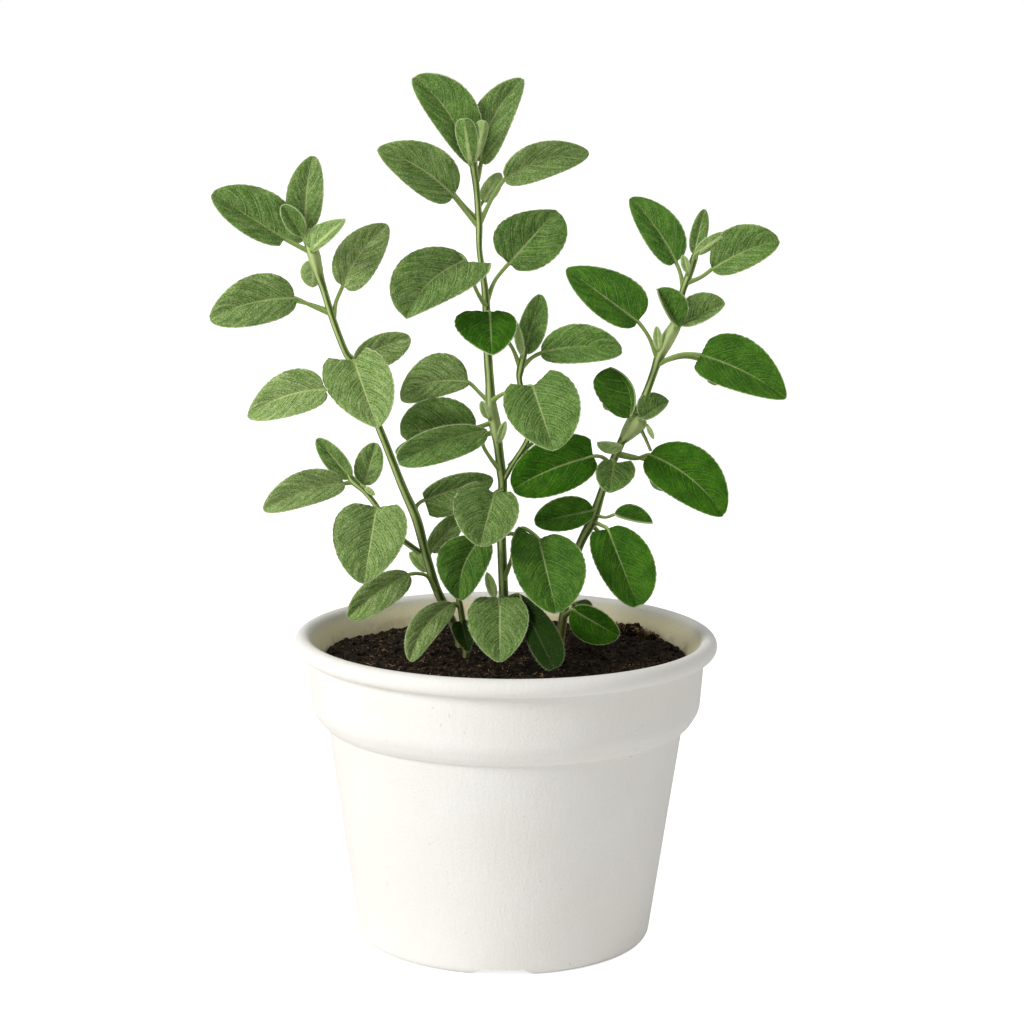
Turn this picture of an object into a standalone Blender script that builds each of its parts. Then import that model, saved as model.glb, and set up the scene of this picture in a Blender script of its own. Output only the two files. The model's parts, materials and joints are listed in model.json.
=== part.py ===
"""Potted oregano: three leafy stems and a young shoot, standing in soil in a white pot.

The pot stands on the ground with its axis on Z. The plant is set out as it is seen from in
front, in millimetres: across from the pot's axis, up from the ground and toward the viewer.
front() turns such a place into a point of the world, along the line of sight of an eye a
little above the plant.
"""

import math
import random
from typing import NamedTuple

import bmesh
import bpy
import numpy as np

MM = 0.001
SLACK = 0.3  # gap between two pieces that touch

# Eye that the plant is set out from
EYE_ACROSS, EYE_AWAY, EYE_UP = 1.5, 866.0, 286.0

# Pot
POT_SIDES = 40
FOOT_RADIUS = 45.3
FOOT_ROUND = 3.2
WALL_SLOPE = 0.138
WALL_TOP = 63.9
WALL_THICK = 4.0
FLOOR_THICK = 5.0
BAND_OUTLINE = ((55.1, 66.4), (58.2, 69.8), (59.5, 73.1), (61.0, 88.6))
BEAD_CENTRE = (62.1, 91.8)
BEAD_HALF_WIDTH, BEAD_HALF_HEIGHT = 2.6, 3.1
MOUTH_OUTLINE = ((57.6, 89.6), (56.0, 85.9), (55.0, 74.4), (51.4, 66.9))
DRAINS = 3
DRAIN_PLACE = 33.0
DRAIN_RADIUS = 3.2
NOTCH_WIDE, NOTCH_NARROW, NOTCH_HIGH = 18.0, 11.5, 1.3

# Soil
SOIL_LEVEL = 87.5
SOIL_SIDES = POT_SIDES
SOIL_RINGS = (0.84, 0.6, 0.32)
SOIL_ROUGH = 0.5
SOIL_TILT = 0.012  # drop toward the back
CLODS = 12
CLOD_SIZES = (1.1, 2.3)
HOLE_SIDES = 8

# Stems and leaves
STEM_SIDES = 6
STALK_SIDES = 4
STALK, THIN_STALK, STALK_END = 0.58, 0.45, 0.28  # radii
STALK_FLARE = 1.3
STALK_REACH = 0.12  # how far along the blade a stalk ends
BLADE_THICK = 0.7
WAVE_HEIGHT = 0.05  # of the half width, at the margin
WAVES = 2.3
FULL_ROWS, HIDDEN_ROWS, SMALL_ROWS = 8, 5, 5
BLADE_COLUMNS = 3
SMALL_WIDTH = 7.0
STEM_SHARP = 75  # edges sharper than this many degrees stay sharp

# How a margin swells from the foot and closes at the tip, and how wide it starts at the foot
OVAL, EGG, LOW = (0.46, 0.56), (0.40, 0.62), (0.34, 0.66)
HEART, SPOON = (0.36, 0.66), (0.75, 0.42)
PLAIN_BASE, HEART_BASE, BROAD_BASE = 0.012, 0.028, 0.05
TIP_CUT = 0.006
NARROWEST = 0.45  # half width at the very tip


class Leaf(NamedTuple):
    """A leaf as seen from in front; places are (across, up, toward), sides looked at from its foot."""

    foot: tuple
    tip: tuple
    left: tuple  # half width seen on this side, and how much nearer its margin lies than the midrib
    right: tuple
    stalk: tuple = ()  # places from the stem up to the foot
    bow: tuple = (0.0, 0.0)  # the midrib's swing to the left, and toward the viewer
    lobes: tuple = (0.0, 0.0)  # how far the left and the right lobe reach back past the foot
    swell: tuple = (OVAL, OVAL)
    base: float = PLAIN_BASE
    hidden: bool = False


class Shoot(NamedTuple):
    """A stem's places with the radius at each, from its root or from inside another stem."""

    route: tuple
    rooted: bool = False


# Left stem: the long stem, and the side shoot that leaves it low on the left
LEFT_SHOOTS = (
    Shoot((
        (-14.0, 74.3, -14, 1.5), (-14.0, 91.2, -14, 1.5), (-15.8, 96.5, -12, 1.4),
        (-18.6, 102.5, -8.4, 1.4), (-21.6, 109, -4.3, 1.35),
        (-24.9, 120, -3.2, 1.35), (-27.6, 130, -2.4, 1.45), (-31.9, 140, -1.6, 1.25),
        (-37.8, 155, -0.6, 1.15), (-43.2, 168, 0, 1.15), (-46.9, 177.5, 0.6, 1.3),
        (-49.2, 181, 0.9, 1.05), (-52.7, 190, 1.5, 1.05), (-55.8, 200, 2.2, 1.1),
        (-57.4, 205, 2.6, 1.5), (-58.6, 210, 3, 1.9), (-59.9, 213, 3, 1.5), (-61.2, 216.5, 3, 0.8),
    ), rooted=True),
    Shoot((
        (-26.5, 119.5, -2.8, 0.9), (-32.5, 124, 0.5, 0.9), (-37.6, 129, 2.4, 0.85),
        (-39.6, 133.5, 3, 0.85), (-43.2, 138.2, 2.8, 0.9), (-46.9, 141.6, 2, 1.2),
        (-48.2, 143.4, 1.6, 0.7),
    )),
)
LEFT_LEAVES = (
    # top of the stem
    Leaf((-67.5, 214.8, 4), (-89, 228, 8), (5.2, 3.2), (10.0, 2.0), ((-59.2, 210.6, 3),),
         swell=(OVAL, (0.38, 0.62)), base=BROAD_BASE),
    Leaf((-60.8, 218, 1), (-58.8, 239.5, -3), (6.0, 2.0), (5.2, 1.5), ((-60.2, 213, 2.6),),
         bow=(1.0, 0), swell=(EGG, OVAL)),
    Leaf((-62.2, 216, 5), (-68.1, 224.8, 8), (2.7, 1.6), (3.4, 2.2), ((-60.2, 213, 3.4),)),
    Leaf((-59.4, 211.6, 6), (-49.2, 220.8, 11), (4.8, -2.0), (1.8, 1.0), ((-58.8, 210.4, 3.4),),
         swell=((0.36, 0.85), OVAL), base=BROAD_BASE),
    Leaf((-58.2, 208.4, -1), (-59.2, 200.4, -7), (2.8, -1.0), (4.0, -1.0), ((-58.2, 208.6, 2),)),
    Leaf((-61.5, 214.5, -3), (-66.6, 220.5, -18), (4.0, 1.0), (4.0, 1.0), ((-59.8, 212, 2),),
         hidden=True),
    # pair below it
    Leaf((-64.4, 197, 3), (-90, 190.6, 10), (7.0, 3.0), (8.3, 2.0),
         ((-53.5, 192.3, 1.7), (-59.5, 194.8, 2.4)), bow=(-1.6, 1), swell=(OVAL, LOW)),
    Leaf((-50, 200.7, 0), (-36.8, 219.3, -12), (6.6, 2.8), (6.8, 2.0),
         ((-52.7, 191.2, 1.5), (-52, 195.8, 1.2)), bow=(1.4, 1), swell=(EGG, EGG)),
    Leaf((-66, 196.5, -6), (-75, 197.5, -22), (5.5, 1.0), (5.5, 1.0),
         ((-53.6, 193, 1), (-60, 195.2, -1.5)), hidden=True),
    # broad leaf that hangs in front, and the three round it
    Leaf((-46.6, 178.3, 3), (-39.6, 157.9, 21), (9.5, 3.6), (10.9, 4.2), ((-46.7, 177, 0.6),),
         lobes=(2.6, 3.2), swell=((0.38, 0.62), (0.3, 0.85)), base=HEART_BASE),
    Leaf((-55.2, 169.4, -2), (-78.7, 160.9, -10), (6.6, 2.6), (7.3, 2.2),
         ((-46.6, 177, 0), (-51.5, 173.6, -2)), bow=(-2.2, 1), swell=((0.46, 0.64), (0.3, 0.7))),
    Leaf((-46.3, 178, -4), (-29.8, 185.6, -9), (3.9, 1.4), (6.1, 2.0), ((-46.9, 177.6, 0),),
         bow=(0.8, 0)),
    Leaf((-45, 173, -5), (-45.5, 166, -26), (7.0, 1.0), (7.0, 1.0), ((-45.6, 174.6, 0),),
         hidden=True),
    # side shoot
    Leaf((-47.8, 142.4, 2), (-57.8, 154.4, -1), (3.5, 2.2), (3.3, 1.0), ((-47, 141.6, 2),)),
    Leaf((-49.8, 140.6, 3), (-74.2, 132.4, 12), (4.9, 2.6), (6.0, 2.2), ((-46.8, 141.2, 2),),
         bow=(-1.7, 1), swell=(OVAL, EGG)),
    Leaf((-43.4, 140.4, -1), (-40, 153.2, -6), (4.6, 1.6), (4.0, 1.4),
         ((-46.4, 140.9, 1.8), (-44.8, 140, 0.4))),
    Leaf((-43.2, 139.6, 3.4), (-40.3, 137.2, 4), (0.9, 0.4), (0.9, 0.4), ((-45.4, 140.4, 2.4),)),
    Leaf((-39.8, 133.4, 5), (-43.6, 109.6, 20), (10.4, 3.8), (12.0, 4.4), ((-39.8, 133.4, 3),),
         lobes=(2.0, 0.2), swell=((0.34, 0.8), (0.34, 0.62)), base=HEART_BASE),
    # low on the stem
    Leaf((-30, 112.6, 2), (-48.4, 99, 10), (5.9, 2.6), (4.6, 1.8),
         ((-21.8, 108, -3.6), (-24, 112, -1.4), (-27, 113, 0.6)), bow=(-1.2, 1)),
    Leaf((-24.3, 113.8, -6), (-29.6, 119.5, -10), (1.8, 1.0), (2.6, 1.0), ((-22.4, 111.6, -4),)),
    Leaf((-25.2, 135.8, -8), (-4.4, 142.5, -13), (4.4, 2.0), (7.4, 2.0),
         ((-28.4, 132, -2.4), (-27.2, 134.4, -5)), bow=(0.5, 0), swell=(OVAL, LOW),
         base=BROAD_BASE),
    Leaf((-23.2, 120, -7), (-13.3, 131.8, -13), (3.8, 1.4), (3.6, 1.4), ((-24.3, 117.6, -3.6),)),
    Leaf((-19.4, 99.4, -13), (-23.4, 98.8, -27), (3.6, 1.0), (3.6, 1.0),
         ((-17, 98.8, -10.4),), hidden=True),
)

# Young shoot in front of the left stem's foot
YOUNG_SHOOTS = (
    Shoot((
        (-12.2, 75, -3, 1.0), (-12.2, 90, -3, 1.0), (-12.8, 95, -3, 0.95),
        (-13.6, 100, -2.6, 0.95), (-14.3, 104, -2, 0.9), (-14.9, 105.4, -1.8, 0.6),
    ), rooted=True),
)
YOUNG_LEAVES = (
    Leaf((-16.6, 103.6, -0.6), (-29.5, 85.6, 17), (4.6, 2.0), (4.7, 1.6), ((-14.3, 103, -2),),
         bow=(-2.4, 1)),
    Leaf((-13.6, 98.2, -0.6), (-11.4, 88.2, 6), (3.0, 0.8), (3.5, 0.8), ((-13.6, 98, -2.6),),
         swell=((0.36, 0.76), (0.28, 0.85)), base=BROAD_BASE),
)

# Middle stem: the tallest, with a side shoot on its right
MIDDLE_SHOOTS = (
    Shoot((
        (-0.2, 72, 0, 1.7), (-0.2, 89, 0, 1.7), (-0.5, 100, 0, 1.45), (-1.2, 115, 0, 1.4),
        (-1.7, 128, 0, 1.35), (-1.4, 140, 0, 1.35), (-1.9, 145, 0, 1.4), (-2.9, 153, -0.3, 1.4),
        (-3.9, 159, -0.7, 1.8), (-5.2, 166, -1, 1.6), (-5.6, 172, -1.4, 1.35),
        (-6.2, 180, -2, 1.3), (-6.9, 196, -3, 1.15), (-7.8, 204, -3.5, 0.95),
        (-9, 212, -4, 0.85), (-9.2, 220, -4.5, 1.05), (-9.9, 229, -5, 0.95),
        (-10.9, 237, -5.5, 1.2), (-11.4, 241, -5.4, 1.4), (-11.4, 244.5, -5.2, 0.6),
    ), rooted=True),
    Shoot((
        (-1.2, 142, 0, 0.8), (1.2, 146.6, 1.6, 0.8), (5.4, 153.4, 3, 0.8), (6.8, 158, 3, 0.8),
        (5.6, 165, 2.4, 0.8), (3.4, 172.5, 2, 0.8), (3.7, 176.5, 2, 1.1), (4.7, 181, 2, 0.9),
        (5, 183, 2, 0.6),
    )),
)
MIDDLE_LEAVES = (
    # top pair, and the folded young leaves between them
    Leaf((-12.3, 237.8, -8), (-28.8, 263, -8), (5.5, 2.4), (8.8, 1.6), ((-11, 237.2, -5.6),),
         bow=(-2.8, 0), swell=((0.75, 0.62), (0.55, 0.5))),
    Leaf((-8.7, 238, -8), (3.4, 262.8, -12), (6.2, 2.0), (5.7, 2.0), ((-9.8, 232.6, -5.2),),
         bow=(2.6, 0), swell=(OVAL, (0.5, 0.66))),
    Leaf((-11.8, 237.4, -3.4), (-14, 251, -1.4), (3.1, -1.4), (3.4, -0.6),
         ((-11.2, 238.4, -5),), swell=((0.8, 0.36), (0.7, 0.4))),
    Leaf((-10.4, 238.4, -4), (-7.7, 250.4, -2.4), (3.0, -0.8), (1.7, -1.4),
         ((-11, 239, -5.2),), swell=((0.8, 0.4), (0.8, 0.4))),
    Leaf((-11, 242, -8), (-11.6, 250, -20), (4.0, 1.0), (4.0, 1.0), ((-11, 240, -5.6),),
         hidden=True),
    # second pair
    Leaf((-17.1, 228.2, -3), (-39.5, 241.9, 8), (6.6, 2.8), (8.3, 2.2),
         ((-9.3, 218.8, -4.4), (-13.4, 223.6, -4)), bow=(-1.7, 1), swell=((0.4, 0.68), LOW)),
    Leaf((-1.6, 233.2, -6), (23.2, 241.4, -16), (5.6, 2.4), (5.5, 2.6),
         ((-9.1, 219.6, -4.6), (-5.6, 227, -5.4)), bow=(1.9, 1), swell=(EGG, OVAL)),
    Leaf((-8, 226.5, -8), (-2.9, 234.9, -13), (2.7, 0.6), (2.6, 0.6), ((-9.5, 224.5, -5),)),
    Leaf((-18, 230, -8), (-26, 235, -24), (6.0, 1.0), (6.0, 1.0),
         ((-9.3, 220.5, -5), (-13.6, 225, -6.6)), hidden=True),
    # third pair and the short leaf under it
    Leaf((-0.2, 208, -6), (13.9, 224, -14), (10.0, 2.6), (9.3, 3.0),
         ((-6.9, 195.6, -3), (-4.4, 202.6, -4.6)), swell=((0.45, 0.9), (0.5, 0.42)),
         base=HEART_BASE),
    Leaf((-13.5, 208.6, 5), (-31, 191.1, 16), (9.3, 4.0), (10.7, 4.2),
         ((-7, 195.2, -2.6), (-9.4, 199, 1), (-11.8, 204.4, 3)), bow=(-2.8, 2),
         lobes=(5.4, 0.4), swell=((0.3, 0.9), (0.4, 0.3)), base=HEART_BASE),
    Leaf((-5.7, 193.2, 1.5), (-5, 180.3, 18), (8.0, 3.0), (10.8, 3.0), ((-6.6, 193, -2),),
         lobes=(0, 0.8), swell=((0.34, 0.7), (0.3, 0.9)), base=HEART_BASE),
    Leaf((-12, 206, -12), (-22, 205, -28), (6.0, 1.0), (6.0, 1.0), ((-7.8, 205, -3.8),),
         hidden=True),
    Leaf((-1, 185.6, -3), (-3.4, 189, -22), (5.5, 1.0), (5.5, 1.0),
         ((3.6, 176.4, 2), (1.4, 182, -0.4)), hidden=True),
    # side shoot on the right
    Leaf((4.9, 181, 1), (9.4, 198.8, -2), (3.9, 1.6), (4.5, 3.6), ((4.4, 180, 1.8),)),
    Leaf((10, 181.2, 2), (34.2, 182, 8), (6.9, 2.4), (5.2, 3.0),
         ((3.7, 176.3, 2), (7, 179.6, 2)), bow=(1.7, 1), swell=((0.42, 0.56), OVAL)),
    Leaf((4.2, 180.4, 3.2), (2.2, 190.4, 4.6), (1.5, 0.8), (1.2, 0.8), ((4.1, 178.6, 2),)),
    Leaf((7.3, 170.9, 8), (14.1, 151.4, 24), (12.5, 3.6), (10.3, 4.4),
         ((-5.2, 166, -0.6), (-2, 168.4, 3), (3, 170.2, 6)),
         lobes=(3.2, 3.0), swell=((0.34, 0.58), (0.34, 0.8)), base=HEART_BASE),
    Leaf((10.6, 158.4, 0), (14, 170, -12), (5.0, 1.0), (5.0, 1.0),
         ((0.6, 146.4, 1), (5.2, 151.6, 2), (8.8, 155, 2.4)), hidden=True),
    # leaves on the left of the middle
    Leaf((-12, 172, -2), (-32.6, 167.4, 1), (4.9, 2.4), (8.6, 2.2),
         ((-5.4, 165.6, -1.2), (-8.8, 169, -2)), bow=(-2.3, 1), swell=((0.6, 0.46), (0.28, 0.6))),
    Leaf((-9.7, 158.2, 1), (-32.6, 156.8, 4), (6.0, 1.0), (9.9, 2.4), ((-4.2, 160, -0.6),),
         swell=(OVAL, (0.45, 0.48))),
    Leaf((-6.8, 157.4, 5.4), (-33.3, 147.6, 14), (6.2, 3.2), (4.9, 2.6),
         ((-2, 144.8, 0.4), (-5.4, 149.2, 2.6), (-7.6, 153.4, 4)), bow=(-1.1, 1),
         swell=((0.4, 0.5), (0.6, 0.38))),
    Leaf((-6, 161.2, 1.6), (-8.1, 166.3, 3), (1.5, 0.6), (1.3, 0.6), ((-4.6, 160.6, 0),)),
    Leaf((-2.7, 153.8, 2), (-0.7, 160.2, 3), (1.3, 0.6), (1.2, 0.6), ((-3.2, 154, 0),)),
    Leaf((-14, 154, -8), (-34, 150.4, -14), (4.0, 1.0), (4.0, 1.0), ((-3.6, 157, -1.2),),
         hidden=True),
    # low in the middle
    Leaf((-3.9, 138, 7), (-8.3, 121.6, 23), (8.9, 3.6), (11.2, 4.4), ((-1.5, 139.4, 0),),
         lobes=(2.0, 2.2), swell=(HEART, HEART), base=HEART_BASE),
    Leaf((-8.4, 123.4, 4), (-14.4, 104.9, 13), (6.9, 3.0), (8.8, 3.0), ((-1.6, 125.4, 0),),
         bow=(-2.0, 1), swell=(EGG, EGG), base=BROAD_BASE),
    Leaf((9.8, 124, 9), (15.4, 101, 25), (12.2, 3.6), (9.8, 4.4),
         ((-0.9, 111, 0.4), (1.4, 117.6, 2.6), (2.6, 124.6, 5), (5, 127.4, 7)),
         lobes=(0.6, 5.4), swell=((0.46, 0.6), HEART), base=HEART_BASE),
    Leaf((-2, 105.3, 8), (-1.8, 85.4, 27), (8.9, 2.8), (10.0, 3.4), ((-0.8, 106, 0),),
         lobes=(0.4, 0.6), swell=((0.4, 0.76), (0.4, 0.76)), base=BROAD_BASE),
    Leaf((3.8, 106.6, 4), (14.9, 83.4, 33), (6.2, 1.0), (4.0, 1.0), ((-0.6, 105, 0),),
         swell=(SPOON, SPOON)),
    Leaf((-3.6, 106, -5), (-6, 113.5, -9), (1.6, 0.6), (1.6, 0.6), ((-0.6, 102, 0),)),
    Leaf((-3, 133, -8), (-6, 128.6, -27), (7.0, 1.0), (7.0, 1.0), ((-1.7, 134, -0.4),),
         hidden=True),
    Leaf((6, 121.6, -9), (12, 115, -26), (6.5, 1.0), (6.5, 1.0),
         ((-1.6, 125.4, -0.6), (2.4, 125.4, -5)), hidden=True),
)

# Right stem
RIGHT_SHOOTS = (
    Shoot((
        (16.4, 72, -6, 1.4), (16.4, 89, -6, 1.4), (17.4, 99, -6, 1.3), (19.5, 111, -6, 1.3),
        (21.5, 120, -5.6, 1.2), (23.4, 125, -5.2, 1.3), (26.2, 130.6, -4.9, 1.5),
        (29.1, 140, -3.9, 1.1), (31.5, 147, -3, 1.15), (35, 155.4, -2, 1.2), (38, 161, -1, 1.3),
        (41.2, 168, 0, 1.15), (43.7, 175, 0, 1.1), (45.3, 180, 0.3, 1.4), (47.8, 185.6, 0.6, 2.0),
        (50.4, 190.6, 1, 1.6), (51.3, 196, 1, 0.95), (52.2, 200.5, 1, 0.95),
        (53.8, 205, 1, 1.1), (55.3, 210, 1, 1.1), (56, 212.6, 1, 0.6),
    ), rooted=True),
    # thick joint of the cup-shaped pair, and the strand down from it
    Shoot((
        (34.6, 154.4, -2, 1.1), (36.6, 157.2, -1, 2.2), (39.2, 160.6, 0, 2.8),
        (39.9, 162.8, 0.4, 1.2),
    )),
    Shoot(((39.6, 159.6, 0, 0.6), (41.8, 155.2, 1, 0.5), (43.4, 151.6, 2.6, 0.45))),
)
RIGHT_LEAVES = (
    # top
    Leaf((49.9, 208.9, -3), (36, 227.9, -12), (5.1, 2.4), (6.9, 2.0),
         ((52.2, 200.8, 0.8), (51.4, 205.2, -1)), bow=(-1.0, 0), swell=(EGG, EGG)),
    Leaf((55.2, 211.6, -2), (58.1, 224.8, -4), (2.5, 0.8), (2.8, 0.8), ((55.2, 210, 0.8),)),
    Leaf((55.9, 211.4, 4), (64.9, 217.8, 8), (2.3, -0.8), (1.6, -0.8), ((55.4, 210, 1.2),)),
    Leaf((61, 207.1, 2), (80.6, 215.9, 10), (8.2, 2.6), (5.3, 2.8),
         ((53, 202.6, 1), (57.4, 204.4, 1.6)), bow=(1.0, 1), swell=(OVAL, OVAL)),
    Leaf((53.4, 206, 3), (51.9, 211, 3.4), (1.3, 0.5), (1.4, 0.5), ((53.6, 204.6, 1.2),)),
    # pale knot with its small pair
    Leaf((50.3, 189.8, 3), (44.4, 200.8, 5), (1.0, 2.4), (6.4, 1.8), ((49, 188, 1),)),
    Leaf((51.9, 190.2, 2), (64.8, 196.8, 0), (6.6, 2.0), (2.4, 2.6), ((49.6, 188.6, 0.8),)),
    Leaf((45, 182.6, 2), (44.4, 189.5, 3), (1.3, 0.5), (1.5, 0.5), ((45.8, 181.4, 0.6),)),
    Leaf((52, 193, -2), (53, 196, -17), (4.0, 0.8), (4.0, 0.8), ((50.8, 192, 0.8),),
         hidden=True),
    # pair at the knot's foot
    Leaf((38.8, 190.9, 2), (17.2, 206.6, -4), (5.8, 2.8), (9.3, 2.6),
         ((45, 179.4, 0.4), (42.2, 186.2, 1.4)), bow=(0, 1), swell=(EGG, (0.32, 0.74))),
    Leaf((58, 181, 2), (84, 168.1, 12), (9.7, 2.8), (7.0, 3.2),
         ((45, 178, 0.4), (51.6, 181, 1.6)), bow=(1.4, 1), swell=((0.36, 0.72), (0.3, 0.7)),
         base=HEART_BASE),
    Leaf((60, 179, -7), (68, 176, -24), (6.0, 1.0), (6.0, 1.0),
         ((45, 178.6, 0), (53, 180.4, -4)), hidden=True),
    # cup-shaped pair
    Leaf((37, 162, 2), (30.7, 177, -2), (9.5, 2.8), (1.6, 2.0), ((37.6, 158.8, 0),),
         bow=(-2.7, 0), swell=((0.62, 0.42), OVAL)),
    Leaf((40.4, 161.4, 3), (48.4, 167, -4), (5.8, 1.6), (1.8, 2.0), ((39.2, 160, 0.4),)),
    Leaf((42.2, 159.4, 2), (44.2, 155.3, 3), (0.8, 0.3), (0.8, 0.3), ((39.4, 160.4, 0.4),)),
    Leaf((34.4, 166, -6), (30.6, 170, -19), (5.0, 1.0), (5.0, 1.0), ((38, 161.4, -1.2),),
         hidden=True),
    # broad leaf on the right, and the small ones round its stalk
    Leaf((43.1, 150.4, 3), (65.8, 131.9, 13), (9.4, 2.8), (8.2, 3.4),
         ((33, 150.4, -2.4), (38.8, 149.2, 1)), bow=(2.4, 1),
         swell=((0.4, 0.54), (0.42, 0.7))),
    Leaf((34.6, 153, 0), (27.1, 153.9, -1), (2.9, 0.8), (0.9, 0.8), ((34, 153.2, -2),)),
    Leaf((32.4, 147.8, 4), (30.9, 138.6, 9), (6.8, 2.2), (5.1, 2.2), ((32, 148.6, -2.4),),
         lobes=(1.6, 0.5), swell=((0.34, 0.76), EGG), base=BROAD_BASE),
    Leaf((45, 148, -8), (53, 142, -25), (6.5, 1.0), (6.5, 1.0),
         ((33, 150.8, -2.6), (39, 149.6, -5)), hidden=True),
    # broad leaf toward the middle
    Leaf((26, 149.8, 2), (1.7, 139.4, 3), (8.2, 2.4), (9.2, 2.0),
         ((31.4, 147, -2.8), (29, 149.4, -1)), bow=(-1.2, 1), lobes=(0, 1.2),
         swell=(OVAL, (0.3, 0.42)), base=HEART_BASE),
    # low on the stem
    Leaf((26, 133.1, -3), (8.4, 129.2, 1), (4.6, 2.4), (6.0, 2.2), ((27.3, 133.6, -4.4),)),
    Leaf((32.8, 131.9, 0), (44.3, 129.4, 2), (4.3, 1.8), (0.9, 2.2),
         ((26.8, 131.6, -4.6), (30, 131, -2)), swell=((0.5, 0.7), OVAL)),
    Leaf((30.7, 127.3, 2), (40.3, 103.4, 16), (9.9, 3.4), (7.5, 3.8),
         ((26, 129.6, -4.8), (28.6, 128.6, -2)), lobes=(0, 1.0),
         swell=((0.5, 0.5), (0.26, 0.5)), base=HEART_BASE),
    Leaf((31.6, 121.6, -12), (36, 115, -28), (6.5, 1.0), (6.5, 1.0),
         ((25.4, 129, -5.2), (28.4, 126, -8)), hidden=True),
    Leaf((20.4, 102.2, 0), (34.7, 94, 5), (4.2, 1.4), (6.9, 2.0), ((17.5, 99.6, -6),)),
    Leaf((21, 104, -13), (25, 99.5, -26), (4.0, 1.0), (4.0, 1.0), ((18, 104.4, -6.4),),
         hidden=True),
)

# Name of each leafy node with its shoots and its leaves
PLANT = (
    ("leafy_stem_left", LEFT_SHOOTS, LEFT_LEAVES),
    ("young_shoot", YOUNG_SHOOTS, YOUNG_LEAVES),
    ("leafy_stem_middle", MIDDLE_SHOOTS, MIDDLE_LEAVES),
    ("leafy_stem_right", RIGHT_SHOOTS, RIGHT_LEAVES),
)


# Scene, materials and meshes

def clear_scene():
    """Removes every object of the scene."""
    for thing in list(bpy.data.objects):
        bpy.data.objects.remove(thing, do_unlink=True)


def material(name, colour, roughness):
    """A plain Principled material."""
    made = bpy.data.materials.new(name)
    made.use_nodes = True
    shader = made.node_tree.nodes["Principled BSDF"]
    shader.inputs["Base Color"].default_value = (*colour, 1.0)
    shader.inputs["Roughness"].default_value = roughness
    shader.inputs["Metallic"].default_value = 0.0
    return made


def mesh_object(name, mesh, finish=None, collection=None):
    """An object of this mesh, in the given collection or in the scene's own."""
    thing = bpy.data.objects.new(name, mesh)
    if finish:
        mesh.materials.clear()
        mesh.materials.append(finish)
    (collection or bpy.context.scene.collection).objects.link(thing)
    return thing


def mesh_of(name, points, faces):
    """A mesh of points in millimetres, its faces turned outward."""
    mesh = bpy.data.meshes.new(name)
    mesh.from_pydata([tuple(float(v) * MM for v in point) for point in points], [], faces)
    shell = bmesh.new()
    shell.from_mesh(mesh)
    bmesh.ops.recalc_face_normals(shell, faces=shell.faces)
    shell.to_mesh(mesh)
    shell.free()
    return mesh


def arc(centre, radii, first, last, steps):
    """Points on an ellipse between two angles in degrees."""
    for step in range(steps + 1):
        angle = math.radians(first + (last - first) * step / steps)
        yield (centre[0] + radii[0] * math.cos(angle), centre[1] + radii[1] * math.sin(angle))


def turned(name, outline, sides):
    """A mesh turned about Z from an outline that starts and ends on the axis."""
    shell = bmesh.new()
    corners = [shell.verts.new((radius * MM, 0, height * MM)) for radius, height in outline]
    edges = [shell.edges.new(pair) for pair in zip(corners, corners[1:])]
    bmesh.ops.spin(shell, geom=corners + edges, cent=(0, 0, 0), axis=(0, 0, 1),
                   angle=2 * math.pi, steps=sides, use_merge=True)
    bmesh.ops.remove_doubles(shell, verts=shell.verts, dist=1e-6)
    bmesh.ops.recalc_face_normals(shell, faces=shell.faces)
    mesh = bpy.data.meshes.new(name)
    shell.to_mesh(mesh)
    shell.free()
    return mesh


def smooth(mesh, sharp_above=35):
    """Shades a mesh smooth, but for edges sharper than this many degrees."""
    mesh.shade_smooth()
    mesh.set_sharp_from_angle(angle=math.radians(sharp_above))


def apply_boolean(thing, operation, collection):
    """Joins or cuts a mesh object with a whole collection, which is then removed."""
    modifier = thing.modifiers.new("shape", "BOOLEAN")
    modifier.operation = operation
    modifier.operand_type = "COLLECTION"
    modifier.collection = collection
    modifier.solver = "EXACT"
    graph = bpy.context.evaluated_depsgraph_get()
    mesh = bpy.data.meshes.new_from_object(thing.evaluated_get(graph))
    thing.modifiers.clear()
    mesh.name = thing.name
    thing.data = mesh
    for helper in list(collection.objects):
        bpy.data.objects.remove(helper, do_unlink=True)
    bpy.data.collections.remove(collection)


def helpers(name):
    """A collection for the pieces that a Boolean uses up."""
    collection = bpy.data.collections.new(name)
    bpy.context.scene.collection.children.link(collection)
    return collection


def keep_outer_shell(mesh):
    """Keeps the largest closed shell of a mesh, dropping inner hollows and loose scrap."""
    shell = bmesh.new()
    shell.from_mesh(mesh)
    left, shells = set(shell.verts), []
    while left:
        start = left.pop()
        group, open_ends = {start}, [start]
        while open_ends:
            for edge in open_ends.pop().link_edges:
                for end in edge.verts:
                    if end in left:
                        left.remove(end)
                        group.add(end)
                        open_ends.append(end)
        shells.append(group)
    shells.sort(key=len)
    bmesh.ops.delete(shell, geom=[end for group in shells[:-1] for end in group], context="VERTS")
    shell.to_mesh(mesh)
    shell.free()


# Pot

def wall_radius(height):
    """Outer radius of the pot's body at a height."""
    return FOOT_RADIUS + WALL_SLOPE * height


def cavity_outline():
    """The pot's inside from below the bead down to the middle of its floor."""
    yield from MOUTH_OUTLINE
    corner = wall_radius(FLOOR_THICK) - WALL_THICK - FOOT_ROUND
    yield from arc((corner, FLOOR_THICK + FOOT_ROUND), (FOOT_ROUND, FOOT_ROUND), 0, -90, 2)
    yield (0, FLOOR_THICK)


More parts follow.
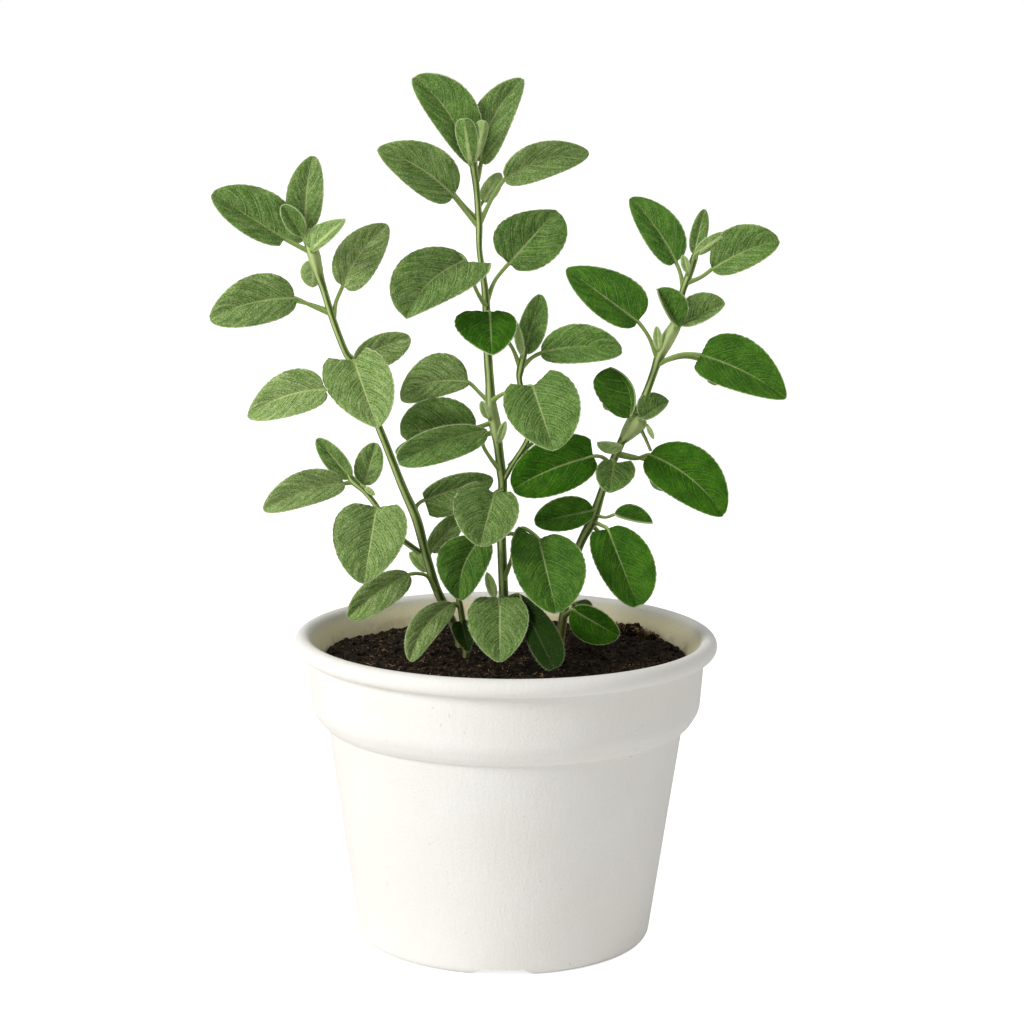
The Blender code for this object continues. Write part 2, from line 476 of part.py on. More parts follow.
def pot_outline():
    """The pot's section, from the middle of its base round the rim to the middle of its floor."""
    yield (0, 0)
    yield from arc((FOOT_RADIUS - FOOT_ROUND, FOOT_ROUND), (FOOT_ROUND, FOOT_ROUND), -90, -8, 3)
    yield (wall_radius(WALL_TOP), WALL_TOP)
    yield from BAND_OUTLINE
    yield from arc(BEAD_CENTRE, (BEAD_HALF_WIDTH, BEAD_HALF_HEIGHT), -70, 165, 6)
    yield from cavity_outline()


def drain_cutter(angle, collection):
    """A wedge-sided slot under the pot's edge, and the drain hole at its inner end."""
    near, far = DRAIN_PLACE, FOOT_RADIUS + 6
    slope = (NOTCH_WIDE - NOTCH_NARROW) / 2 / NOTCH_HIGH
    low, wide = -1.0, NOTCH_WIDE / 2 + slope
    corners = [(-wide, low), (wide, low), (NOTCH_NARROW / 2, NOTCH_HIGH),
               (-NOTCH_NARROW / 2, NOTCH_HIGH)]
    points = [(place, side, high) for place in (near, far) for side, high in corners]
    faces = [(0, 1, 2, 3), (4, 5, 6, 7)]
    faces += [(i, (i + 1) % 4, (i + 1) % 4 + 4, i + 4) for i in range(4)]
    slot = mesh_object("slot_cutter", mesh_of("slot_cutter", points, faces), None, collection)
    hole = turned("hole_cutter", ((0, -2), (DRAIN_RADIUS, -2), (DRAIN_RADIUS, FLOOR_THICK + 2),
                                  (0, FLOOR_THICK + 2)), 16)
    drill = mesh_object("hole_cutter", hole, None, collection)
    slot.rotation_euler.z = drill.rotation_euler.z = angle
    drill.location = (DRAIN_PLACE * MM * math.cos(angle), DRAIN_PLACE * MM * math.sin(angle), 0)


def build_pot(finish):
    """White pot with a beaded rim, a broad band, and drain slots under its foot."""
    pot = mesh_object("pot", turned("pot", list(pot_outline()), POT_SIDES), finish)
    cutters = helpers("pot_cutters")
    for turn in range(DRAINS):
        drain_cutter(-math.pi / 2 + turn * 2 * math.pi / DRAINS, cutters)
    apply_boolean(pot, "DIFFERENCE", cutters)
    smooth(pot.data)


# Soil

def soil_height(across, away, draw):
    """Height of the soil's uneven top, a little lower toward the back."""
    swell = 0.7 * math.sin(across / 9 + 1) * math.cos(away / 11) + 0.5 * math.sin(away / 6 - 2)
    return SOIL_LEVEL + swell - SOIL_TILT * away + SOIL_ROUGH * draw.uniform(-1, 1)


def soil_outline():
    """The soil's side, just clear of the pot's inside, from the top edge to the floor."""
    return [(radius - SLACK, height + SLACK)
            for radius, height in cavity_outline() if radius > 0 and height < SOIL_LEVEL]


def clod(place, size, draw, collection):
    """A small lump of soil, half sunk in the surface."""
    shell = bmesh.new()
    bmesh.ops.create_icosphere(shell, subdivisions=1, radius=size * MM)
    for corner in shell.verts:
        corner.co *= draw.uniform(0.75, 1.2)
        corner.co.z *= 0.7
    mesh = bpy.data.meshes.new("clod")
    shell.to_mesh(mesh)
    shell.free()
    lump = mesh_object("clod", mesh, None, collection)
    lump.location = [value * MM for value in place]


def build_soil(finish, roots):
    """Crumbly soil that fills the pot, with a plain hole for each rooted stem."""
    draw = random.Random(11)
    side = soil_outline()
    top_radius = side[0][0]
    rings = [[(radius, height)] * SOIL_SIDES for radius, height in reversed(side[1:])]
    rings += [[(top_radius, None)] * SOIL_SIDES]
    rings += [[(top_radius * share, None)] * SOIL_SIDES for share in SOIL_RINGS]
    points = [(0, 0, FLOOR_THICK + SLACK)]
    for ring in rings:
        for turn, (radius, height) in enumerate(ring):
            angle = 2 * math.pi * turn / SOIL_SIDES
            across, away = radius * math.cos(angle), radius * math.sin(angle)
            points.append((across, away, height if height else soil_height(across, away, draw)))
    points.append((0, 0, soil_height(0, 0, draw)))
    faces = []
    for turn in range(SOIL_SIDES):
        following = (turn + 1) % SOIL_SIDES
        faces.append((0, 1 + following, 1 + turn))
        for ring in range(len(rings) - 1):
            low, high = 1 + ring * SOIL_SIDES, 1 + (ring + 1) * SOIL_SIDES
            faces.append((low + turn, low + following, high + following))
            faces.append((low + turn, high + following, high + turn))
        last = 1 + (len(rings) - 1) * SOIL_SIDES
        faces.append((last + turn, last + following, len(points) - 1))
    soil = mesh_object("soil", mesh_of("soil", points, faces), finish)

    clods = helpers("clods")
    for _ in range(CLODS):
        size = draw.uniform(*CLOD_SIZES)
        reach = (top_radius - size - 1.5) * math.sqrt(draw.uniform(0.05, 1))
        angle = draw.uniform(0, 2 * math.pi)
        across, away = reach * math.cos(angle), reach * math.sin(angle)
        if all(math.hypot(across - root[0], away - root[1]) > 5 for root in roots):
            clod((across, away, SOIL_LEVEL + 0.2 - SOIL_TILT * away), size, draw, clods)
    apply_boolean(soil, "UNION", clods)

    holes = helpers("holes")
    for across, away, low, radius in roots:
        wide = (radius + SLACK) / math.cos(math.pi / HOLE_SIDES)
        bore = turned("hole_cutter", ((0, low - SLACK), (wide, low - SLACK),
                                      (wide, SOIL_LEVEL + 6), (0, SOIL_LEVEL + 6)), HOLE_SIDES)
        drill = mesh_object("hole_cutter", bore, None, holes)
        drill.location = (across * MM, away * MM, 0)
    apply_boolean(soil, "DIFFERENCE", holes)
    keep_outer_shell(soil.data)


# Plant

def front(places):
    """World points in millimetres of places given as across, up and toward the viewer."""
    across, up, toward = np.moveaxis(np.asarray(places, float), -1, 0)
    share = (EYE_AWAY - toward) / EYE_AWAY
    return np.stack((EYE_ACROSS + (across - EYE_ACROSS) * share, -toward,
                     EYE_UP + (up - EYE_UP) * share), axis=-1)


def unit(vectors):
    """Vectors brought to length one."""
    return vectors / np.maximum(np.linalg.norm(vectors, axis=-1, keepdims=True), 1e-9)


def tube(name, centres, radii, sides, collection=None):
    """A closed tube along a route of world points, its section carried along without twist."""
    ways = unit(np.gradient(centres, axis=0))
    aside = unit(np.cross(ways[0], (0.3, 1.0, 0.2)))
    points, faces = [], []
    for centre, way, radius in zip(centres, ways, radii):
        aside = unit(aside - way * (aside @ way))
        upward = np.cross(way, aside)
        for side in range(sides):
            angle = 2 * math.pi * (side + 0.5) / sides
            points.append(centre + radius * (math.cos(angle) * aside + math.sin(angle) * upward))
    for ring in range(len(centres) - 1):
        for side in range(sides):
            following = (side + 1) % sides
            low, high = ring * sides, (ring + 1) * sides
            faces.append((low + side, low + following, high + following, high + side))
    faces.append(tuple(range(sides)))
    faces.append(tuple(range(len(points) - sides, len(points))))
    return mesh_object(name, mesh_of(name, points, faces), None, collection)


def width(leaf):
    """A blade's greatest width as seen."""
    return leaf.left[0] + leaf.right[0]


def outline_share(stations, swell, base):
    """Half width of a blade at stations from foot to tip, as a share of its widest."""
    rise, fall = swell
    widest = rise / (rise + fall)
    place = base + (1 - base - TIP_CUT) * stations
    return (place / widest) ** rise * ((1 - place) / (1 - widest)) ** fall


def blade_places(leaf, stations, spread, draw):
    """Places of a blade's middle surface; spread runs from -1 on the left margin to 1."""
    along, across = stations[:, None], spread[None, :]
    foot, tip = np.array(leaf.foot, float), np.array(leaf.tip, float)
    length = math.hypot(*(tip - foot)[:2])
    way = (tip - foot)[:2] / length
    leftward = np.array((-way[1], way[0]))
    on_left = across < 0
    half = np.where(on_left, leaf.left[0], leaf.right[0])
    nearer = np.where(on_left, leaf.left[1], leaf.right[1])
    lobe = np.where(on_left, leaf.lobes[0], leaf.lobes[1])
    share = np.where(on_left, *(outline_share(along, swell, leaf.base) for swell in leaf.swell))
    arch = 4 * along * (1 - along)
    out = np.abs(across)

    reach = np.maximum(half * share, NARROWEST)
    sideways = leaf.bow[0] * arch - np.sign(across) * out * reach
    forward = along * length - lobe * out ** 1.4 * (1 - along) ** 3
    phase = np.where(on_left, draw.uniform(0, 1), draw.uniform(0, 1))
    wave = WAVE_HEIGHT * half * out ** 2 * np.sin(2 * math.pi * (WAVES * along + phase))
    toward = (foot[2] + (tip[2] - foot[2]) * along + leaf.bow[1] * arch
              + nearer * share * out * (1.3 - 0.3 * out ** 2) + wave * share)
    seen = foot[:2] + forward[..., None] * way + sideways[..., None] * leftward
    return np.concatenate((seen, toward[..., None]), axis=-1)


def blade(name, leaf, draw, collection):
    """A closed, gently waved blade, split into triangles alike on both of its faces."""
    rows = HIDDEN_ROWS if leaf.hidden else SMALL_ROWS if width(leaf) < SMALL_WIDTH else FULL_ROWS
    columns = BLADE_COLUMNS
    stations = (1 - np.cos(math.pi * np.linspace(0, 1, rows))) / 2
    middle = front(blade_places(leaf, stations, np.linspace(-1, 1, columns), draw))
    normals = unit(np.cross(np.gradient(middle, axis=0), np.gradient(middle, axis=1)))
    faces_of = [(middle + normals * side * BLADE_THICK / 2).reshape(-1, 3) for side in (1, -1)]
    under = rows * columns
    faces = []
    for row in range(rows - 1):
        for column in range(columns - 1):
            a = row * columns + column
            b, c, d = a + 1, a + columns + 1, a + columns
            faces += [(a, b, c), (a, c, d)]
            faces += [(under + a, under + c, under + b), (under + a, under + d, under + c)]
    rim = list(range(columns))
    rim += [row * columns + columns - 1 for row in range(1, rows)]
    rim += [under - 1 - column for column in range(1, columns)]
    rim += [row * columns for row in range(rows - 2, 0, -1)]
    for first, second in zip(rim, rim[1:] + rim[:1]):
        faces += [(first, under + first, under + second), (first, under + second, second)]
    mesh = mesh_of(name, np.concatenate(faces_of), faces)
    return mesh_object(name, mesh, None, collection)


def stalk(name, leaf, draw, collection):
    """The leaf's stalk, from inside the stem to a thin end within the blade."""
    thick = THIN_STALK if width(leaf) < SMALL_WIDTH else STALK
    end = blade_places(leaf, np.array((STALK_REACH,)), np.zeros(1), draw)[0]
    places = np.array([*leaf.stalk, leaf.foot, *end], float)
    radii = np.full(len(places), thick)
    radii[0] *= STALK_FLARE
    radii[-1] = STALK_END
    return tube(name, front(places), radii, STALK_SIDES, collection)


def build_stem(name, shoots, leaves, finish, seed):
    """A leafy stem with its side shoots and its leaves joined into one body."""
    stem, pieces = None, helpers(name + "_pieces")
    for shoot in shoots:
        route = np.array(shoot.route, float)
        where = None if stem is None else pieces
        made = tube(name, front(route[:, :3]), route[:, 3], STEM_SIDES, where)
        stem = stem or made
    for number, leaf in enumerate(leaves):
        draw = random.Random(seed * 100 + number)
        blade(f"{name}_blade", leaf, draw, pieces)
        stalk(f"{name}_stalk", leaf, draw, pieces)
    stem.data.materials.append(finish)
    apply_boolean(stem, "UNION", pieces)
    keep_outer_shell(stem.data)
    stem.data.materials.clear()
    stem.data.materials.append(finish)
    smooth(stem.data, STEM_SHARP)


def roots_of(plant):
    """World place, lowest height and radius of each stem that stands in the soil."""
    for _, shoots, _ in plant:
        for shoot in shoots:
            if shoot.rooted:
                across, away, low = front(shoot.route[0][:3])
                yield across, away, low, shoot.route[0][3]


def main():
    clear_scene()
    build_pot(material("pot_white", (0.86, 0.86, 0.84), 0.55))
    build_soil(material("soil_brown", (0.035, 0.024, 0.018), 0.95), list(roots_of(PLANT)))
    leaf_green = material("leaf_green", (0.075, 0.17, 0.04), 0.6)
    for seed, (name, shoots, leaves) in enumerate(PLANT):
        build_stem(name, shoots, leaves, leaf_green, seed + 1)


if __name__ == "__main__":
    main()
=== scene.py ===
"""Looks of the potted oregano: veined leaves, hairy stems, crumbly soil and a matte white pot.

Lengths are millimetres until a mesh is made. The plant is set out as it is seen from in front:
across from the pot's axis, up from the ground and toward the viewer. front() turns such a
place into a point of the world.
"""

import json
import logging
import math
import random
from dataclasses import dataclass, field
from enum import Enum
from typing import Optional, Sequence, Union

import bmesh
import bpy
import numpy as np
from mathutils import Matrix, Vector, noise

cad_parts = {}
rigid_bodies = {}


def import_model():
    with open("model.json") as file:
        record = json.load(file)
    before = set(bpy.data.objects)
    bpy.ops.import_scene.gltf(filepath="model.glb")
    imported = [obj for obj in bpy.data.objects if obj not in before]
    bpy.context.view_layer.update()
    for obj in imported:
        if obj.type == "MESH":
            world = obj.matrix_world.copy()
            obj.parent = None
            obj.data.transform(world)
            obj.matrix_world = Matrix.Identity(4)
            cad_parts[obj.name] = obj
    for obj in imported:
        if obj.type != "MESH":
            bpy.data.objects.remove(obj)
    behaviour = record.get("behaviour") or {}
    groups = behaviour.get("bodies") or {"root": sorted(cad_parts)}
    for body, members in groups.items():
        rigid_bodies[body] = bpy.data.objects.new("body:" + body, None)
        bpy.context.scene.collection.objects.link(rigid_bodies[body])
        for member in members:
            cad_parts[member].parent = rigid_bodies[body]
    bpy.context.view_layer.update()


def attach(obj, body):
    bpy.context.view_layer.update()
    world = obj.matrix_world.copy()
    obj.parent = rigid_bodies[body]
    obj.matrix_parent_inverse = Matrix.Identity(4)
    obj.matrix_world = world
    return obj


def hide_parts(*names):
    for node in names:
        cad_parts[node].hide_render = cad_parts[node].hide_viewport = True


LOG = logging.getLogger("potted_oregano")

MM = 0.001
BODY = "root"
EYE_ACROSS, EYE_AWAY, EYE_UP = 1.5, 866.0, 286.0

Place = tuple[float, float, float]
Pair = tuple[float, float]
Colour = tuple[int, int, int]
Route = tuple[tuple[float, float, float, float], ...]  # a stem's places with the radius at each

# How a leaf margin swells from the foot and closes at the tip, and how wide it starts at the foot
OVAL, EGG, LOW = (0.46, 0.56), (0.40, 0.62), (0.34, 0.66)
HEART, SPOON = (0.36, 0.66), (0.75, 0.42)
PLAIN_BASE, HEART_BASE, BROAD_BASE = 0.012, 0.028, 0.05
TIP_CUT = 0.006
NARROWEST = 0.3  # half width at the very tip
SMALL_BLADE = 7.0  # a blade narrower than this is meshed more coarsely
CORNER_SHARE = 0.45  # of an edge, the most that rounding one corner takes
HAIR_SUNK = 0.05
HAIR_CORNERS = (0, 2.094, 4.189)  # thirds of a turn


class BladeDetail(Enum):
    """How finely a blade is meshed: its rows from foot to tip, and its columns on each half."""

    FULL = (56, 15)
    SMALL = (26, 7)
    HIDDEN = (22, 7)

    @property
    def stations(self) -> np.ndarray:
        """Shares of the way from foot to tip, closest together at both ends."""
        return (1 - np.cos(math.pi * np.linspace(0, 1, self.value[0]))) / 2

    @property
    def spread(self) -> np.ndarray:
        """Shares of the half width from -1 to 1, closest at the midrib and the margins."""
        even = np.linspace(0, 1, self.value[1] + 1)
        half = even * 0.5 + (1 - np.cos(math.pi * even)) * 0.25
        return np.concatenate((-half[:0:-1], half))


class Down(Enum):
    """How pale a leaf's upper side is: its down, and partly painted light and shade."""

    # painted shade: this level paints a leaf dark where it lies in shade
    OLD = -1.0
    BARE = 0.0
    SPARSE = 0.1
    SOFT = 0.36
    DOWNY = 0.5
    YOUNG = 0.6
    VELVET = 0.66
    WOOLLY = 0.82
    BUD = 1.0


@dataclass(frozen=True)
class Leaf:
    """A leaf as seen from in front, its left and right being those of a walk from foot to tip."""

    foot: Place
    tip: Place
    left: Pair  # half width seen on this side, and how much nearer its margin lies than the midrib
    right: Pair
    stalk: tuple[Place, ...]  # places from the stem up to the foot
    down: Down = Down.SOFT
    bow: Pair = (0.0, 0.0)  # the midrib's swing to the left, and toward the viewer
    lobes: Pair = (0.0, 0.0)  # how far the left and the right lobe reach back past the foot
    swell: tuple[Pair, Pair] = (OVAL, OVAL)
    base: float = PLAIN_BASE
    hidden: bool = False

    @property
    def width(self) -> float:
        """The blade's greatest width as seen."""
        return self.left[0] + self.right[0]

    @property
    def length(self) -> float:
        """The true length from foot to tip."""
        return math.dist(self.foot, self.tip)

    @property
    def small(self) -> bool:
        """Whether it is one of the small leaves."""
        return self.width < SMALL_BLADE

    @property
    def detail(self) -> BladeDetail:
        """How finely this blade is meshed."""
        if self.hidden:
            return BladeDetail.HIDDEN
        return BladeDetail.SMALL if self.small else BladeDetail.FULL


def behind(foot: Place, tip: Place, half: float, *stalk: Place, nearer: float = 1.0) -> Leaf:
    """A leaf that the front view doesn't show, alike on both sides.

    Args:
        foot: Where its blade starts.
        tip: Where its blade ends.
        half: Half its width.
        *stalk: Places from the stem up to the foot.
        nearer: How much nearer its margins lie than its midrib.

    Returns:
        The leaf.
    """
    return Leaf(foot, tip, (half, nearer), (half, nearer), stalk, hidden=True)


# Left stem: the long stem, and the side shoot that leaves it low on the left
LEFT_SHOOTS = (
    (
        (-14.0, 74.3, -14, 1.5), (-14.0, 91.2, -14, 1.5), (-15.8, 96.5, -12, 1.4),
        (-18.6, 102.5, -8.4, 1.4), (-21.6, 109, -4.3, 1.35), (-24.9, 120, -3.2, 1.35),
        (-27.6, 130, -2.4, 1.45), (-31.9, 140, -1.6, 1.25), (-37.8, 155, -0.6, 1.15),
        (-43.2, 168, 0, 1.15), (-46.9, 177.5, 0.6, 1.3), (-49.2, 181, 0.9, 1.05),
        (-52.7, 190, 1.5, 1.05), (-55.8, 200, 2.2, 1.1), (-57.4, 205, 2.6, 1.5), (-58.6, 210, 3, 1.9),
        (-59.9, 213, 3, 1.5), (-61.2, 216.5, 3, 0.8),
    ),
    (
        (-26.5, 119.5, -2.8, 0.9), (-32.5, 124, 0.5, 0.9), (-37.6, 129, 2.4, 0.85),
        (-39.6, 133.5, 3, 0.85), (-43.2, 138.2, 2.8, 0.9), (-46.9, 141.6, 2, 1.2),
        (-48.2, 143.4, 1.6, 0.7),
    ),
)
LEFT_LEAVES = (
    # top of the stem
    Leaf((-67.5, 214.8, 4), (-89, 228, 8), (5.2, 3.2), (10, 2), ((-59.2, 210.6, 3),),
         swell=(OVAL, (0.38, 0.62)), base=BROAD_BASE),
    Leaf((-60.8, 218, 1), (-58.8, 239.5, -3), (6, 2), (5.2, 1.5), ((-60.2, 213, 2.6),), Down.DOWNY,
         bow=(1, 0), swell=(EGG, OVAL)),
    Leaf((-62.2, 216, 5), (-68.1, 224.8, 8), (2.7, 1.6), (3.4, 2.2), ((-60.2, 213, 3.4),)),
    Leaf((-59.4, 211.6, 6), (-49.2, 220.8, 11), (4.8, -2), (1.8, 1), ((-58.8, 210.4, 3.4),),
         Down.VELVET, swell=((0.36, 0.85), OVAL), base=BROAD_BASE),
    Leaf((-58.2, 208.4, -1), (-59.2, 200.4, -7), (2.8, -1), (4, -1), ((-58.2, 208.6, 2),), Down.BUD),
    behind((-61.5, 214.5, -3), (-66.6, 220.5, -18), 4, (-59.8, 212, 2)),
    # pair below it
    Leaf((-64.4, 197, 3), (-90, 190.6, 10), (7, 3), (8.3, 2),
         ((-53.5, 192.3, 1.7), (-59.5, 194.8, 2.4)), Down.VELVET, bow=(-1.6, 1), swell=(OVAL, LOW)),
    Leaf((-50, 200.7, 0), (-36.8, 219.3, -12), (6.6, 2.8), (6.8, 2),
         ((-52.7, 191.2, 1.5), (-52, 195.8, 1.2)), Down.WOOLLY, bow=(1.4, 1), swell=(EGG, EGG)),
    behind((-66, 196.5, -6), (-75, 197.5, -22), 5.5, (-53.6, 193, 1), (-60, 195.2, -1.5)),
    # broad leaf that hangs in front, and the three round it
    Leaf((-46.6, 178.3, 3), (-39.6, 157.9, 21), (9.5, 3.6), (10.9, 4.2), ((-46.7, 177, 0.6),),
         Down.VELVET, lobes=(2.6, 3.2), swell=((0.38, 0.62), (0.3, 0.85)), base=HEART_BASE),
    Leaf((-55.2, 169.4, -2), (-78.7, 160.9, -10), (6.6, 2.6), (7.3, 2.2),
         ((-46.6, 177, 0), (-51.5, 173.6, -2)), Down.WOOLLY, bow=(-2.2, 1),
         swell=((0.46, 0.64), (0.3, 0.7))),
    Leaf((-46.3, 178, -4), (-29.8, 185.6, -9), (3.9, 1.4), (6.1, 2), ((-46.9, 177.6, 0),),
         Down.WOOLLY, bow=(0.8, 0)),
    behind((-45, 173, -5), (-45.5, 166, -26), 7, (-45.6, 174.6, 0)),
    # side shoot
    Leaf((-47.8, 142.4, 2), (-57.8, 154.4, -1), (3.5, 2.2), (3.3, 1), ((-47, 141.6, 2),)),
    Leaf((-49.8, 140.6, 3), (-74.2, 132.4, 12), (4.9, 2.6), (6, 2.2), ((-46.8, 141.2, 2),),
         Down.WOOLLY, bow=(-1.7, 1), swell=(OVAL, EGG)),
    Leaf((-43.4, 140.4, -1), (-40, 153.2, -6), (4.6, 1.6), (4, 1.4),
         ((-46.4, 140.9, 1.8), (-44.8, 140, 0.4)), Down.VELVET),
    Leaf((-43.2, 139.6, 3.4), (-40.3, 137.2, 4), (0.9, 0.4), (0.9, 0.4), ((-45.4, 140.4, 2.4),),
         Down.YOUNG),
    Leaf((-39.8, 133.4, 5), (-43.6, 109.6, 20), (10.4, 3.8), (12, 4.4), ((-39.8, 133.4, 3),),
         Down.VELVET, lobes=(2, 0.2), swell=((0.34, 0.8), (0.34, 0.62)), base=HEART_BASE),
    # low on the stem
    Leaf((-30, 112.6, 2), (-48.4, 99, 10), (5.9, 2.6), (4.6, 1.8),
         ((-21.8, 108, -3.6), (-24, 112, -1.4), (-27, 113, 0.6)), Down.WOOLLY, bow=(-1.2, 1)),
    Leaf((-24.3, 113.8, -6), (-29.6, 119.5, -10), (1.8, 1), (2.6, 1), ((-22.4, 111.6, -4),),
         Down.YOUNG),
    Leaf((-25.2, 135.8, -8), (-4.4, 142.5, -13), (4.4, 2), (7.4, 2),
         ((-28.4, 132, -2.4), (-27.2, 134.4, -5)), Down.DOWNY, bow=(0.5, 0), swell=(OVAL, LOW),
         base=BROAD_BASE),
    Leaf((-23.2, 120, -7), (-13.3, 131.8, -13), (3.8, 1.4), (3.6, 1.4), ((-24.3, 117.6, -3.6),),
         Down.WOOLLY),
    behind((-19.4, 99.4, -13), (-23.4, 98.8, -27), 3.6, (-17, 98.8, -10.4)),
)

# Young shoot in front of the left stem's foot
YOUNG_SHOOTS = (
    (
        (-12.2, 75, -3, 1.0), (-12.2, 90, -3, 1.0), (-12.8, 95, -3, 0.95), (-13.6, 100, -2.6, 0.95),
        (-14.3, 104, -2, 0.9), (-14.9, 105.4, -1.8, 0.6),
    ),
)
YOUNG_LEAVES = (
    Leaf((-16.6, 103.6, -0.6), (-29.5, 85.6, 17), (4.6, 2), (4.7, 1.6), ((-14.3, 103, -2),),
         Down.WOOLLY, bow=(-2.4, 1)),
    # this leaf lies in shade and is painted dark
    Leaf((-13.6, 98.2, -0.6), (-11.4, 88.2, 6), (3, 0.8), (3.5, 0.8), ((-13.6, 98, -2.6),), Down.OLD,
         swell=((0.36, 0.76), (0.28, 0.85)), base=BROAD_BASE),
)

# Middle stem: the tallest, with a side shoot on its right
MIDDLE_SHOOTS = (
    (
        (-0.2, 72, 0, 1.7), (-0.2, 89, 0, 1.7), (-0.5, 100, 0, 1.45), (-1.2, 115, 0, 1.4),
        (-1.7, 128, 0, 1.35), (-1.4, 140, 0, 1.35), (-1.9, 145, 0, 1.4), (-2.9, 153, -0.3, 1.4),
        (-3.9, 159, -0.7, 1.8), (-5.2, 166, -1, 1.6), (-5.6, 172, -1.4, 1.35), (-6.2, 180, -2, 1.3),
        (-6.9, 196, -3, 1.15), (-7.8, 204, -3.5, 0.95), (-9, 212, -4, 0.85), (-9.2, 220, -4.5, 1.05),
        (-9.9, 229, -5, 0.95), (-10.9, 237, -5.5, 1.2), (-11.4, 241, -5.4, 1.4),
        (-11.4, 244.5, -5.2, 0.6),
    ),
    (
        (-1.2, 142, 0, 0.8), (1.2, 146.6, 1.6, 0.8), (5.4, 153.4, 3, 0.8), (6.8, 158, 3, 0.8),
        (5.6, 165, 2.4, 0.8), (3.4, 172.5, 2, 0.8), (3.7, 176.5, 2, 1.1), (4.7, 181, 2, 0.9),
        (5, 183, 2, 0.6),
    ),
)
